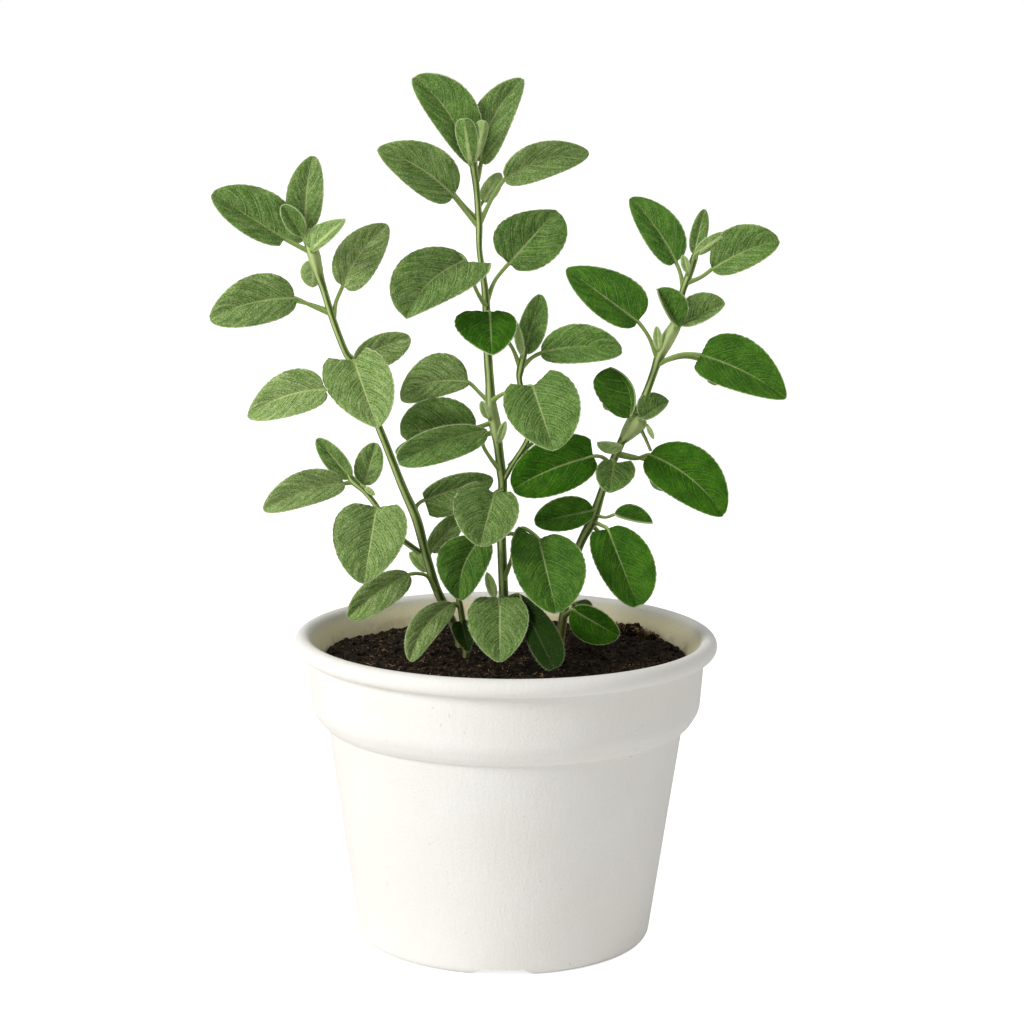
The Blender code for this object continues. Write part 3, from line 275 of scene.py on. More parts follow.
MIDDLE_LEAVES = (
    # top pair, and the folded young leaves between them
    Leaf((-12.3, 237.8, -8), (-28.8, 263, -8), (5.5, 2.4), (8.8, 1.6), ((-11, 237.2, -5.6),),
         bow=(-2.8, 0), swell=((0.75, 0.62), (0.55, 0.5))),
    Leaf((-8.7, 238, -8), (3.4, 262.8, -12), (6.2, 2), (5.7, 2), ((-9.8, 232.6, -5.2),), Down.DOWNY,
         bow=(2.6, 0), swell=(OVAL, (0.5, 0.66))),
    Leaf((-11.8, 237.4, -3.4), (-14, 251, -1.4), (3.1, -1.4), (3.4, -0.6), ((-11.2, 238.4, -5),),
         swell=((0.8, 0.36), (0.7, 0.4))),
    Leaf((-10.4, 238.4, -4), (-7.7, 250.4, -2.4), (3, -0.8), (1.7, -1.4), ((-11, 239, -5.2),),
         Down.YOUNG, swell=((0.8, 0.4), (0.8, 0.4))),
    behind((-11, 242, -8), (-11.6, 250, -20), 4, (-11, 240, -5.6)),
    # second pair
    Leaf((-17.1, 228.2, -3), (-39.5, 241.9, 8), (6.6, 2.8), (8.3, 2.2),
         ((-9.3, 218.8, -4.4), (-13.4, 223.6, -4)), Down.DOWNY, bow=(-1.7, 1),
         swell=((0.4, 0.68), LOW)),
    Leaf((-1.6, 233.2, -6), (23.2, 241.4, -16), (5.6, 2.4), (5.5, 2.6),
         ((-9.1, 219.6, -4.6), (-5.6, 227, -5.4)), Down.VELVET, bow=(1.9, 1), swell=(EGG, OVAL)),
    Leaf((-8, 226.5, -8), (-2.9, 234.9, -13), (2.7, 0.6), (2.6, 0.6), ((-9.5, 224.5, -5),), Down.BUD),
    behind((-18, 230, -8), (-26, 235, -24), 6, (-9.3, 220.5, -5), (-13.6, 225, -6.6)),
    # third pair and the short leaf under it
    Leaf((-0.2, 208, -6), (13.9, 224, -14), (10, 2.6), (9.3, 3),
         ((-6.9, 195.6, -3), (-4.4, 202.6, -4.6)), swell=((0.45, 0.9), (0.5, 0.42)), base=HEART_BASE),
    Leaf((-13.5, 208.6, 5), (-31, 191.1, 16), (9.3, 4), (10.7, 4.2),
         ((-7, 195.2, -2.6), (-9.4, 199, 1), (-11.8, 204.4, 3)), Down.DOWNY, bow=(-2.8, 2),
         lobes=(5.4, 0.4), swell=((0.3, 0.9), (0.4, 0.3)), base=HEART_BASE),
    Leaf((-5.7, 193.2, 1.5), (-5, 180.3, 18), (8, 3), (10.8, 3), ((-6.6, 193, -2),), Down.BARE,
         lobes=(0, 0.8), swell=((0.34, 0.7), (0.3, 0.9)), base=HEART_BASE),
    behind((-12, 206, -12), (-22, 205, -28), 6, (-7.8, 205, -3.8)),
    behind((-1, 185.6, -3), (-3.4, 189, -22), 5.5, (3.6, 176.4, 2), (1.4, 182, -0.4)),
    # side shoot on the right
    Leaf((4.9, 181, 1), (9.4, 198.8, -2), (3.9, 1.6), (4.5, 3.6), ((4.4, 180, 1.8),)),
    Leaf((10, 181.2, 2), (34.2, 182, 8), (6.9, 2.4), (5.2, 3), ((3.7, 176.3, 2), (7, 179.6, 2)),
         bow=(1.7, 1), swell=((0.42, 0.56), OVAL)),
    Leaf((4.2, 180.4, 3.2), (2.2, 190.4, 4.6), (1.5, 0.8), (1.2, 0.8), ((4.1, 178.6, 2),),
         Down.YOUNG),
    Leaf((7.3, 170.9, 8), (14.1, 151.4, 24), (12.5, 3.6), (10.3, 4.4),
         ((-5.2, 166, -0.6), (-2, 168.4, 3), (3, 170.2, 6)), lobes=(3.2, 3),
         swell=((0.34, 0.58), (0.34, 0.8)), base=HEART_BASE),
    behind((10.6, 158.4, 0), (14, 170, -12), 5, (0.6, 146.4, 1), (5.2, 151.6, 2), (8.8, 155, 2.4)),
    # leaves on the left of the middle
    Leaf((-12, 172, -2), (-32.6, 167.4, 1), (4.9, 2.4), (8.6, 2.2),
         ((-5.4, 165.6, -1.2), (-8.8, 169, -2)), Down.VELVET, bow=(-2.3, 1),
         swell=((0.6, 0.46), (0.28, 0.6))),
    Leaf((-9.7, 158.2, 1), (-32.6, 156.8, 4), (6, 1), (9.9, 2.4), ((-4.2, 160, -0.6),),
         swell=(OVAL, (0.45, 0.48))),
    Leaf((-6.8, 157.4, 5.4), (-33.3, 147.6, 14), (6.2, 3.2), (4.9, 2.6),
         ((-2, 144.8, 0.4), (-5.4, 149.2, 2.6), (-7.6, 153.4, 4)), bow=(-1.1, 1),
         swell=((0.4, 0.5), (0.6, 0.38))),
    Leaf((-6, 161.2, 1.6), (-8.1, 166.3, 3), (1.5, 0.6), (1.3, 0.6), ((-4.6, 160.6, 0),), Down.YOUNG),
    Leaf((-2.7, 153.8, 2), (-0.7, 160.2, 3), (1.3, 0.6), (1.2, 0.6), ((-3.2, 154, 0),), Down.YOUNG),
    behind((-14, 154, -8), (-34, 150.4, -14), 4, (-3.6, 157, -1.2)),
    # low in the middle
    Leaf((-3.9, 138, 7), (-8.3, 121.6, 23), (8.9, 3.6), (11.2, 4.4), ((-1.5, 139.4, 0),), Down.DOWNY,
         lobes=(2, 2.2), swell=(HEART, HEART), base=HEART_BASE),
    Leaf((-8.4, 123.4, 4), (-14.4, 104.9, 13), (6.9, 3), (8.8, 3), ((-1.6, 125.4, 0),), Down.SPARSE,
         bow=(-2, 1), swell=(EGG, EGG), base=BROAD_BASE),
    Leaf((9.8, 124, 9), (15.4, 101, 25), (12.2, 3.6), (9.8, 4.4),
         ((-0.9, 111, 0.4), (1.4, 117.6, 2.6), (2.6, 124.6, 5), (5, 127.4, 7)), Down.SPARSE,
         lobes=(0.6, 5.4), swell=((0.46, 0.6), HEART), base=HEART_BASE),
    Leaf((-2, 105.3, 8), (-1.8, 85.4, 27), (8.9, 2.8), (10, 3.4), ((-0.8, 106, 0),), Down.DOWNY,
         lobes=(0.4, 0.6), swell=((0.4, 0.76), (0.4, 0.76)), base=BROAD_BASE),
    # this leaf lies in shade and is painted dark
    Leaf((3.8, 106.6, 4), (14.9, 83.4, 33), (6.2, 1), (4, 1), ((-0.6, 105, 0),), Down.OLD,
         swell=(SPOON, SPOON)),
    Leaf((-3.6, 106, -5), (-6, 113.5, -9), (1.6, 0.6), (1.6, 0.6), ((-0.6, 102, 0),), Down.YOUNG),
    behind((-3, 133, -8), (-6, 128.6, -27), 7, (-1.7, 134, -0.4)),
    behind((6, 121.6, -9), (12, 115, -26), 6.5, (-1.6, 125.4, -0.6), (2.4, 125.4, -5)),
)

# Right stem
RIGHT_SHOOTS = (
    (
        (16.4, 72, -6, 1.4), (16.4, 89, -6, 1.4), (17.4, 99, -6, 1.3), (19.5, 111, -6, 1.3),
        (21.5, 120, -5.6, 1.2), (23.4, 125, -5.2, 1.3), (26.2, 130.6, -4.9, 1.5),
        (29.1, 140, -3.9, 1.1), (31.5, 147, -3, 1.15), (35, 155.4, -2, 1.2), (38, 161, -1, 1.3),
        (41.2, 168, 0, 1.15), (43.7, 175, 0, 1.1), (45.3, 180, 0.3, 1.4), (47.8, 185.6, 0.6, 2.0),
        (50.4, 190.6, 1, 1.6), (51.3, 196, 1, 0.95), (52.2, 200.5, 1, 0.95), (53.8, 205, 1, 1.1),
        (55.3, 210, 1, 1.1), (56, 212.6, 1, 0.6),
    ),
    # thick joint of the cup-shaped pair, and the strand down from it
    (
        (34.6, 154.4, -2, 1.1), (36.6, 157.2, -1, 2.2), (39.2, 160.6, 0, 2.8),
        (39.9, 162.8, 0.4, 1.2),
    ),
    ((39.6, 159.6, 0, 0.6), (41.8, 155.2, 1, 0.5), (43.4, 151.6, 2.6, 0.45)),
)
RIGHT_LEAVES = (
    # top
    Leaf((49.9, 208.9, -3), (36, 227.9, -12), (5.1, 2.4), (6.9, 2),
         ((52.2, 200.8, 0.8), (51.4, 205.2, -1)), Down.SPARSE, bow=(-1, 0), swell=(EGG, EGG)),
    Leaf((55.2, 211.6, -2), (58.1, 224.8, -4), (2.5, 0.8), (2.8, 0.8), ((55.2, 210, 0.8),)),
    Leaf((55.9, 211.4, 4), (64.9, 217.8, 8), (2.3, -0.8), (1.6, -0.8), ((55.4, 210, 1.2),),
         Down.DOWNY),
    Leaf((61, 207.1, 2), (80.6, 215.9, 10), (8.2, 2.6), (5.3, 2.8),
         ((53, 202.6, 1), (57.4, 204.4, 1.6)), bow=(1, 1), swell=(OVAL, OVAL)),
    Leaf((53.4, 206, 3), (51.9, 211, 3.4), (1.3, 0.5), (1.4, 0.5), ((53.6, 204.6, 1.2),), Down.YOUNG),
    # pale knot with its small pair
    Leaf((50.3, 189.8, 3), (44.4, 200.8, 5), (1, 2.4), (6.4, 1.8), ((49, 188, 1),), Down.SPARSE),
    Leaf((51.9, 190.2, 2), (64.8, 196.8, 0), (6.6, 2), (2.4, 2.6), ((49.6, 188.6, 0.8),), Down.DOWNY),
    Leaf((45, 182.6, 2), (44.4, 189.5, 3), (1.3, 0.5), (1.5, 0.5), ((45.8, 181.4, 0.6),), Down.YOUNG),
    behind((52, 193, -2), (53, 196, -17), 4, (50.8, 192, 0.8), nearer=0.8),
    # pair at the knot's foot
    Leaf((38.8, 190.9, 2), (17.2, 206.6, -4), (5.8, 2.8), (9.3, 2.6),
         ((45, 179.4, 0.4), (42.2, 186.2, 1.4)), Down.SPARSE, bow=(0, 1), swell=(EGG, (0.32, 0.74))),
    Leaf((58, 181, 2), (84, 168.1, 12), (9.7, 2.8), (7, 3.2), ((45, 178, 0.4), (51.6, 181, 1.6)),
         Down.SPARSE, bow=(1.4, 1), swell=((0.36, 0.72), (0.3, 0.7)), base=HEART_BASE),
    behind((60, 179, -7), (68, 176, -24), 6, (45, 178.6, 0), (53, 180.4, -4)),
    # cup-shaped pair
    Leaf((37, 162, 2), (30.7, 177, -2), (9.5, 2.8), (1.6, 2), ((37.6, 158.8, 0),), Down.SPARSE,
         bow=(-2.7, 0), swell=((0.62, 0.42), OVAL)),
    Leaf((40.4, 161.4, 3), (48.4, 167, -4), (5.8, 1.6), (1.8, 2), ((39.2, 160, 0.4),)),
    Leaf((42.2, 159.4, 2), (44.2, 155.3, 3), (0.8, 0.3), (0.8, 0.3), ((39.4, 160.4, 0.4),),
         Down.YOUNG),
    behind((34.4, 166, -6), (30.6, 170, -19), 5, (38, 161.4, -1.2)),
    # broad leaf on the right, and the small ones round its stalk
    Leaf((43.1, 150.4, 3), (65.8, 131.9, 13), (9.4, 2.8), (8.2, 3.4),
         ((33, 150.4, -2.4), (38.8, 149.2, 1)), Down.BARE, bow=(2.4, 1),
         swell=((0.4, 0.54), (0.42, 0.7))),
    Leaf((34.6, 153, 0), (27.1, 153.9, -1), (2.9, 0.8), (0.9, 0.8), ((34, 153.2, -2),), Down.YOUNG),
    Leaf((32.4, 147.8, 4), (30.9, 138.6, 9), (6.8, 2.2), (5.1, 2.2), ((32, 148.6, -2.4),),
         lobes=(1.6, 0.5), swell=((0.34, 0.76), EGG), base=BROAD_BASE),
    behind((45, 148, -8), (53, 142, -25), 6.5, (33, 150.8, -2.6), (39, 149.6, -5)),
    # broad leaf toward the middle
    Leaf((26, 149.8, 2), (1.7, 139.4, 3), (8.2, 2.4), (9.2, 2), ((31.4, 147, -2.8), (29, 149.4, -1)),
         Down.BARE, bow=(-1.2, 1), lobes=(0, 1.2), swell=(OVAL, (0.3, 0.42)), base=HEART_BASE),
    # low on the stem
    Leaf((26, 133.1, -3), (8.4, 129.2, 1), (4.6, 2.4), (6, 2.2), ((27.3, 133.6, -4.4),), Down.BARE),
    Leaf((32.8, 131.9, 0), (44.3, 129.4, 2), (4.3, 1.8), (0.9, 2.2),
         ((26.8, 131.6, -4.6), (30, 131, -2)), Down.BARE, swell=((0.5, 0.7), OVAL)),
    Leaf((30.7, 127.3, 2), (40.3, 103.4, 16), (9.9, 3.4), (7.5, 3.8),
         ((26, 129.6, -4.8), (28.6, 128.6, -2)), Down.BARE, lobes=(0, 1),
         swell=((0.5, 0.5), (0.26, 0.5)), base=HEART_BASE),
    behind((31.6, 121.6, -12), (36, 115, -28), 6.5, (25.4, 129, -5.2), (28.4, 126, -8)),
    Leaf((20.4, 102.2, 0), (34.7, 94, 5), (4.2, 1.4), (6.9, 2), ((17.5, 99.6, -6),), Down.BARE),
    behind((21, 104, -13), (25, 99.5, -26), 4, (18, 104.4, -6.4)),
)


# Numbers and small geometry

def linear(colour: Colour) -> tuple[float, float, float, float]:
    """Turns a colour as seen on a screen into the shader's own.

    Args:
        colour: Red, green and blue from 0 to 255.

    Returns:
        Red, green, blue and alpha from 0 to 1.
    """
    shares = (value / 255 for value in colour)
    made = (v / 12.92 if v <= 0.04045 else ((v + 0.055) / 1.055) ** 2.4 for v in shares)
    return (*made, 1.0)


def front(places: Sequence) -> np.ndarray:
    """Finds the world points of places set out in the front view.

    Args:
        places: Places as across, up and toward the viewer.

    Returns:
        World points in millimetres, in an array of the same shape.
    """
    across, up, toward = np.moveaxis(np.asarray(places, float), -1, 0)
    share = (EYE_AWAY - toward) / EYE_AWAY
    return np.stack((EYE_ACROSS + (across - EYE_ACROSS) * share, -toward,
                     EYE_UP + (up - EYE_UP) * share), axis=-1)


def unit(vectors: np.ndarray) -> np.ndarray:
    """Brings the vectors along the last axis to length one."""
    return vectors / np.maximum(np.linalg.norm(vectors, axis=-1, keepdims=True), 1e-9)


def eased(route: np.ndarray, step: float) -> np.ndarray:
    """Draws a smooth curve through the corners of a route.

    Args:
        route: Corners, with any further values such as the radius in later columns.
        step: Wanted distance between points.

    Returns:
        Points on the curve, with the further values eased along.
    """
    ends = np.vstack((2 * route[0] - route[1], route, 2 * route[-1] - route[-2]))
    points = []
    for a, b, c, d in zip(ends, ends[1:], ends[2:], ends[3:]):
        count = max(2, math.ceil(float(np.linalg.norm((c - b)[:3])) / step))
        for share in np.arange(count) / count:
            points.append(0.5 * (2 * b + (c - a) * share + (2 * a - 5 * b + 4 * c - d) * share ** 2
                                 + (3 * b - a - 3 * c + d) * share ** 3))
    points.append(route[-1])
    return np.array(points)


def outline_share(stations: np.ndarray, swell: Pair, base: float) -> np.ndarray:
    """Half width of a blade from foot to tip, as a share of its widest.

    Args:
        stations: Shares of the way from foot to tip.
        swell: How the margin swells from the foot, and how it closes at the tip.
        base: How wide the blade already is at its foot.

    Returns:
        The share at each station.
    """
    rise, fall = swell
    widest = rise / (rise + fall)
    place = base + (1 - base - TIP_CUT) * stations
    return (place / widest) ** rise * ((1 - place) / (1 - widest)) ** fall


def rounded(corners: Sequence[Pair], radius: float, steps: int) -> list[Pair]:
    """Rounds the inner corners of an open outline.

    Args:
        corners: Radius and height of each corner.
        radius: How far from a corner its rounding starts.
        steps: Segments in one rounding.

    Returns:
        The outline with each inner corner replaced by a short curve.
    """
    made = [corners[0]]
    for before, corner, after in zip(corners, corners[1:], corners[2:]):
        here = Vector(corner)
        to_before, to_after = Vector(before) - here, Vector(after) - here
        reach = min(radius, *(side.length * CORNER_SHARE for side in (to_before, to_after)))
        start = here + to_before.normalized() * reach
        end = here + to_after.normalized() * reach
        for step in range(steps + 1):
            share = step / steps
            made.append(tuple(start.lerp(here, share).lerp(here.lerp(end, share), share)))
    made.append(corners[-1])
    return made


def arc(centre: Pair, radii: Pair, first: float, last: float, steps: int) -> list[Pair]:
    """Points on an ellipse between two angles.

    Args:
        centre: Its middle.
        radii: Half its width and half its height.
        first: Angle of the first point, in degrees.
        last: Angle of the last point, in degrees.
        steps: Segments between them.

    Returns:
        The points, both ends included.
    """
    angles = (math.radians(first + (last - first) * step / steps) for step in range(steps + 1))
    return [(centre[0] + radii[0] * math.cos(a), centre[1] + radii[1] * math.sin(a))
            for a in angles]


def travelled(line: np.ndarray) -> np.ndarray:
    """How far along a line of points each one lies."""
    return np.concatenate(((0,), np.cumsum(np.linalg.norm(np.diff(line, axis=0), axis=1))))


@dataclass
class Patchwork:
    """Points, faces and point values of many small surfaces, gathered into one mesh."""

    points: list[np.ndarray] = field(default_factory=list)
    faces: list[list[int]] = field(default_factory=list)
    values: dict[str, list[np.ndarray]] = field(default_factory=dict)
    count: int = 0

    def add(self, points: Sequence, *faces: Sequence, **values: np.ndarray) -> None:
        """Adds one surface.

        Args:
            points: Its points in millimetres.
            *faces: Rows of point numbers, counted from its own first point.
            **values: Three numbers for each point, under the name that the finish reads.
        """
        points = np.asarray(points, float).reshape(-1, 3)
        self.points.append(points)
        for rows in faces:
            self.faces.extend((np.asarray(rows) + self.count).tolist())
        for name, value in values.items():
            rows = np.broadcast_to(np.asarray(value, float), (len(points), 3))
            self.values.setdefault(name, []).append(rows)
        self.count += len(points)

    def build(self, name: str, finish: bpy.types.Material, sharp: float) -> bpy.types.Object:
        """Makes the object.

        Args:
            name: Its name.
            finish: Its material.
            sharp: Edges sharper than this many degrees stay sharp.

        Returns:
            The object, in the scene.
        """
        mesh = bpy.data.meshes.new(name)
        mesh.from_pydata((np.concatenate(self.points) * MM).tolist(), [], self.faces)
        for key, rows in self.values.items():
            layer = mesh.attributes.new(key, "FLOAT_VECTOR", "POINT")
            layer.data.foreach_set("vector", np.concatenate(rows).astype(np.float32).ravel())
        coated(mesh, finish, sharp)
        return placed(name, mesh)


def placed(name: str, data: bpy.types.ID) -> bpy.types.Object:
    """Puts a mesh, a light or a camera in the scene.

    Args:
        name: The object's name.
        data: Its data.

    Returns:
        The object.
    """
    thing = bpy.data.objects.new(name, data)
    bpy.context.scene.collection.objects.link(thing)
    return thing


def meshed(name: str, shell: bmesh.types.BMesh) -> bpy.types.Mesh:
    """Turns what was built in an edit mesh into a mesh.

    Args:
        name: The mesh's name.
        shell: The edit mesh, which is freed.

    Returns:
        The mesh.
    """
    mesh = bpy.data.meshes.new(name)
    shell.to_mesh(mesh)
    shell.free()
    return mesh


def coated(mesh: bpy.types.Mesh, finish: bpy.types.Material, sharp: float) -> None:
    """Gives a mesh its one finish and smooth shading.

    Args:
        mesh: The mesh.
        finish: Its material.
        sharp: Edges sharper than this many degrees stay sharp.
    """
    mesh.materials.clear()
    mesh.materials.append(finish)
    mesh.shade_smooth()
    mesh.set_sharp_from_angle(angle=math.radians(sharp))


def dressed(piece: bpy.types.Object, node: str) -> None:
    """Lets a piece stand for a node of the frame and reports it.

    Args:
        piece: The finer piece.
        node: The node that it stands for.
    """
    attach(piece, BODY)
    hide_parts(node)
    LOG.info("%s stands for %s with %d faces", piece.name, node, len(piece.data.polygons))


def grid_faces(rows: int, columns: int, closed: bool = False) -> np.ndarray:
    """Four-sided faces of a grid of points.

    Args:
        rows: Rows of points.
        columns: Points in a row.
        closed: Whether each row's last point joins its first.

    Returns:
        Rows of four point numbers.
    """
    wide = columns if closed else columns - 1
    row, column = np.divmod(np.arange((rows - 1) * wide), wide)
    following = (column + 1) % columns
    low, high = row * columns, (row + 1) * columns
    return np.stack((low + column, low + following, high + following, high + column), axis=1)


def end_fans(count: int, sides: int) -> np.ndarray:
    """Three-sided faces that close both ends of a tube.

    Args:
        count: How many points its rings have, which the middles of its two ends follow.
        sides: Points in a ring.

    Returns:
        Rows of three point numbers.
    """
    ring = np.arange(sides)
    following = (ring + 1) % sides
    last = count - sides
    near = np.stack((np.full(sides, count), following, ring), axis=1)
    far = np.stack((last + ring, last + following, np.full(sides, count + 1)), axis=1)
    return np.vstack((near, far))


def sweep(centres: np.ndarray, radii: np.ndarray, sides: int, ridge: float,
          ridges: int) -> tuple[np.ndarray, np.ndarray, np.ndarray]:
    """A tube along a route, its section carried along without twist.

    Args:
        centres: World points of its axis.
        radii: Its radius at each.
        sides: Points round the section.
        ridge: Height of the ridges along it, as a share of the radius.
        ridges: How many ridges it has.

    Returns:
        Its points ring by ring, its faces, and each point's turn, way along and radius.
    """
    ways = unit(np.gradient(centres, axis=0))
    along = travelled(centres)
    turns = np.arange(sides) / sides
    reach = 1 + ridge * np.cos(2 * math.pi * ridges * turns)
    aside = unit(np.cross(ways[0], (0.3, 1.0, 0.2)))
    rings = []
    for centre, way, radius in zip(centres, ways, radii):
        aside = unit(aside - way * (aside @ way))
        upward = np.cross(way, aside)
        angles = 2 * math.pi * turns
        rings.append(centre + radius * reach[:, None] * (np.cos(angles)[:, None] * aside
                                                         + np.sin(angles)[:, None] * upward))
    where = np.stack(np.broadcast_arrays(turns[None, :], along[:, None], radii[:, None]), axis=-1)
    return np.array(rings), grid_faces(len(centres), sides, closed=True), where.reshape(-1, 3)


def spikes(roots: np.ndarray, ways: np.ndarray, lengths: np.ndarray,
           thick: float) -> tuple[np.ndarray, np.ndarray]:
    """Fine hairs, each a slender closed spike of three sides.

    Args:
        roots: Where each one starts.
        ways: Which way each one points.
        lengths: How long each one is.
        thick: Radius at the root.

    Returns:
        Their points and their faces.
    """
    ways = unit(ways)
    aside = unit(np.cross(ways, (0.31, 0.22, 0.92)))
    upward = np.cross(ways, aside)
    corners = [roots - ways * HAIR_SUNK + thick * (math.cos(a) * aside + math.sin(a) * upward)
               for a in HAIR_CORNERS]
    points = np.stack((*corners, roots + ways * lengths[:, None]), axis=1)
    first = np.arange(len(roots))[:, None, None] * 4
    faces = first + np.array(((0, 2, 1), (0, 1, 3), (1, 2, 3), (2, 0, 3)))
    return points.reshape(-1, 3), faces.reshape(-1, 3)


# Shader maths

class Signal:
    """One output of a material's nodes, whose operators add the Math nodes that they stand for."""

    def __init__(self, painter: "Painter", socket: bpy.types.NodeSocket) -> None:
        """Wraps a socket.

        Args:
            painter: What adds nodes to the socket's material.
            socket: The output.
        """
        self.painter = painter
        self.socket = socket

    def _math(self, operation: str, *values: "Number") -> "Signal":
        """Adds a Math node on these values."""
        return self.painter.node("ShaderNodeMath", {"operation": operation}, dict(enumerate(values)))

    def __add__(self, other: "Number") -> "Signal":
        """Sum."""
        return self._math("ADD", self, other)

    def __sub__(self, other: "Number") -> "Signal":
        """Difference."""
        return self._math("SUBTRACT", self, other)

    def __mul__(self, other: "Number") -> "Signal":
        """Product."""
        return self._math("MULTIPLY", self, other)

    def __rsub__(self, other: float) -> "Signal":
        """Difference from a number."""
        return self._math("SUBTRACT", other, self)

    __rmul__ = __mul__

    def __abs__(self) -> "Signal":
        """Size without sign."""
        return self._math("ABSOLUTE", self)

    def fraction(self) -> "Signal":
        """What lies past the last whole number."""
        return self._math("FRACT", self)

    def wave(self) -> "Signal":
        """Cosine of the value in turns."""
        return self._math("COSINE", self * (2 * math.pi))

    def band(self, low: float, high: "Number", start: float = 0.0, end: float = 1.0) -> "Signal":
        """Eases from one value to another as this one passes from low to high.

        Args:
            low: Where the easing starts.
            high: Where it ends.
            start: Value up to there.
            end: Value from there on.

        Returns:
            The eased value.
        """
        return self.painter.node("ShaderNodeMapRange", {"interpolation_type": "SMOOTHSTEP"},
                                 {0: self, 1: low, 2: high, 3: start, 4: end})


Number = Union[float, Signal]


class Painter:
    """Adds nodes to one new material and links its shader."""

    def __init__(self, name: str, **fixed: Union[float, tuple]) -> None:
        """Starts a material.

        Args:
            name: Its name.
            **fixed: Values that are the same all over, under the shader's socket names with
                low lines for spaces.
        """
        self.material = bpy.data.materials.new(name)
        self.material.use_nodes = True
        self.tree = self.material.node_tree
        self.shader = self.tree.nodes["Principled BSDF"]
        for key, value in fixed.items():
            self.shader.inputs[key.replace("_", " ")].default_value = value

    def node(self, kind: str, settings: dict, values: dict,
             output: Union[int, str] = 0) -> Signal:
        """Adds a node.

        Args:
            kind: Blender's name for the node's type.
            settings: Its settings, which are made before its sockets are filled.
            values: Numbers, colours or signals, under the names or numbers of its inputs.
            output: Name or number of the output that is wanted.

        Returns:
            That output.
        """
        made = self.tree.nodes.new(kind)
        for key, value in settings.items():
            setattr(made, key, value)
        for key, value in values.items():
            if isinstance(value, Signal):
                self.tree.links.new(value.socket, made.inputs[key])
            else:
                made.inputs[key].default_value = value
        return Signal(self, made.outputs[output])

    def split(self, vector: Signal) -> list[Signal]:
        """The three numbers of a vector."""
        made = self.node("ShaderNodeSeparateXYZ", {}, {0: vector}).socket.node
        return [Signal(self, output) for output in made.outputs]

    def stored(self, name: str) -> list[Signal]:
        """The three numbers that each point of the mesh holds under a name."""
        return self.split(self.node("ShaderNodeAttribute", {"attribute_name": name}, {}, "Vector"))

    def place(self) -> Signal:
        """The point's own place in metres."""
        return self.node("ShaderNodeTexCoord", {}, {}, "Object")

    def joined(self, first: Number, second: Number, third: Number) -> Signal:
        """A vector of three numbers."""
        return self.node("ShaderNodeCombineXYZ", {}, {0: first, 1: second, 2: third})

    def grain(self, scale: float, detail: float = 2.0, where: Optional[Signal] = None) -> Signal:
        """Soft noise from 0 to 1.

        Args:
            scale: Lumps in a metre, or in one unit of where.
            detail: How many finer layers it has.
            where: Vector to read it at, or None for the point's own place.

        Returns:
            The noise.
        """
        return self.node("ShaderNodeTexNoise", {},
                         {"Vector": where or self.place(), "Scale": scale, "Detail": detail})

    def cells(self, scale: float) -> Signal:
        """Distance to the nearest border of a net of cells, in cells."""
        return self.node("ShaderNodeTexVoronoi", {"feature": "DISTANCE_TO_EDGE"},
                         {"Vector": self.place(), "Scale": scale})

    def mix(self, share: Number, first: Union[Colour, Signal],
            second: Union[Colour, Signal]) -> Signal:
        """Mixes two colours.

        Args:
            share: How much of the second.
            first: A colour from 0 to 255, or a signal.
            second: The same.

        Returns:
            The mixed colour.
        """
        ends = [end if isinstance(end, Signal) else linear(end) for end in (first, second)]
        return self.node("ShaderNodeMix", {"data_type": "RGBA"},
                         {0: share, 6: ends[0], 7: ends[1]}, 2)

    def finish(self, colour: Signal, roughness: Signal, height: Signal, depth: float,
               strength: float = 1.0) -> bpy.types.Material:
        """Links the shader.

        Args:
            colour: Base colour.
            roughness: Roughness.
            height: Relief, from 0 to 1.
            depth: How deep that relief is, in millimetres.
            strength: How strongly it is seen.

        Returns:
            The material.
        """
        bump = self.node("ShaderNodeBump", {},
                         {"Strength": strength, "Distance": depth * MM, "Height": height})
        for key, signal in (("Base Color", colour), ("Roughness", roughness), ("Normal", bump)):
            self.tree.links.new(signal.socket, self.shader.inputs[key])
        return self.material


# Finishes

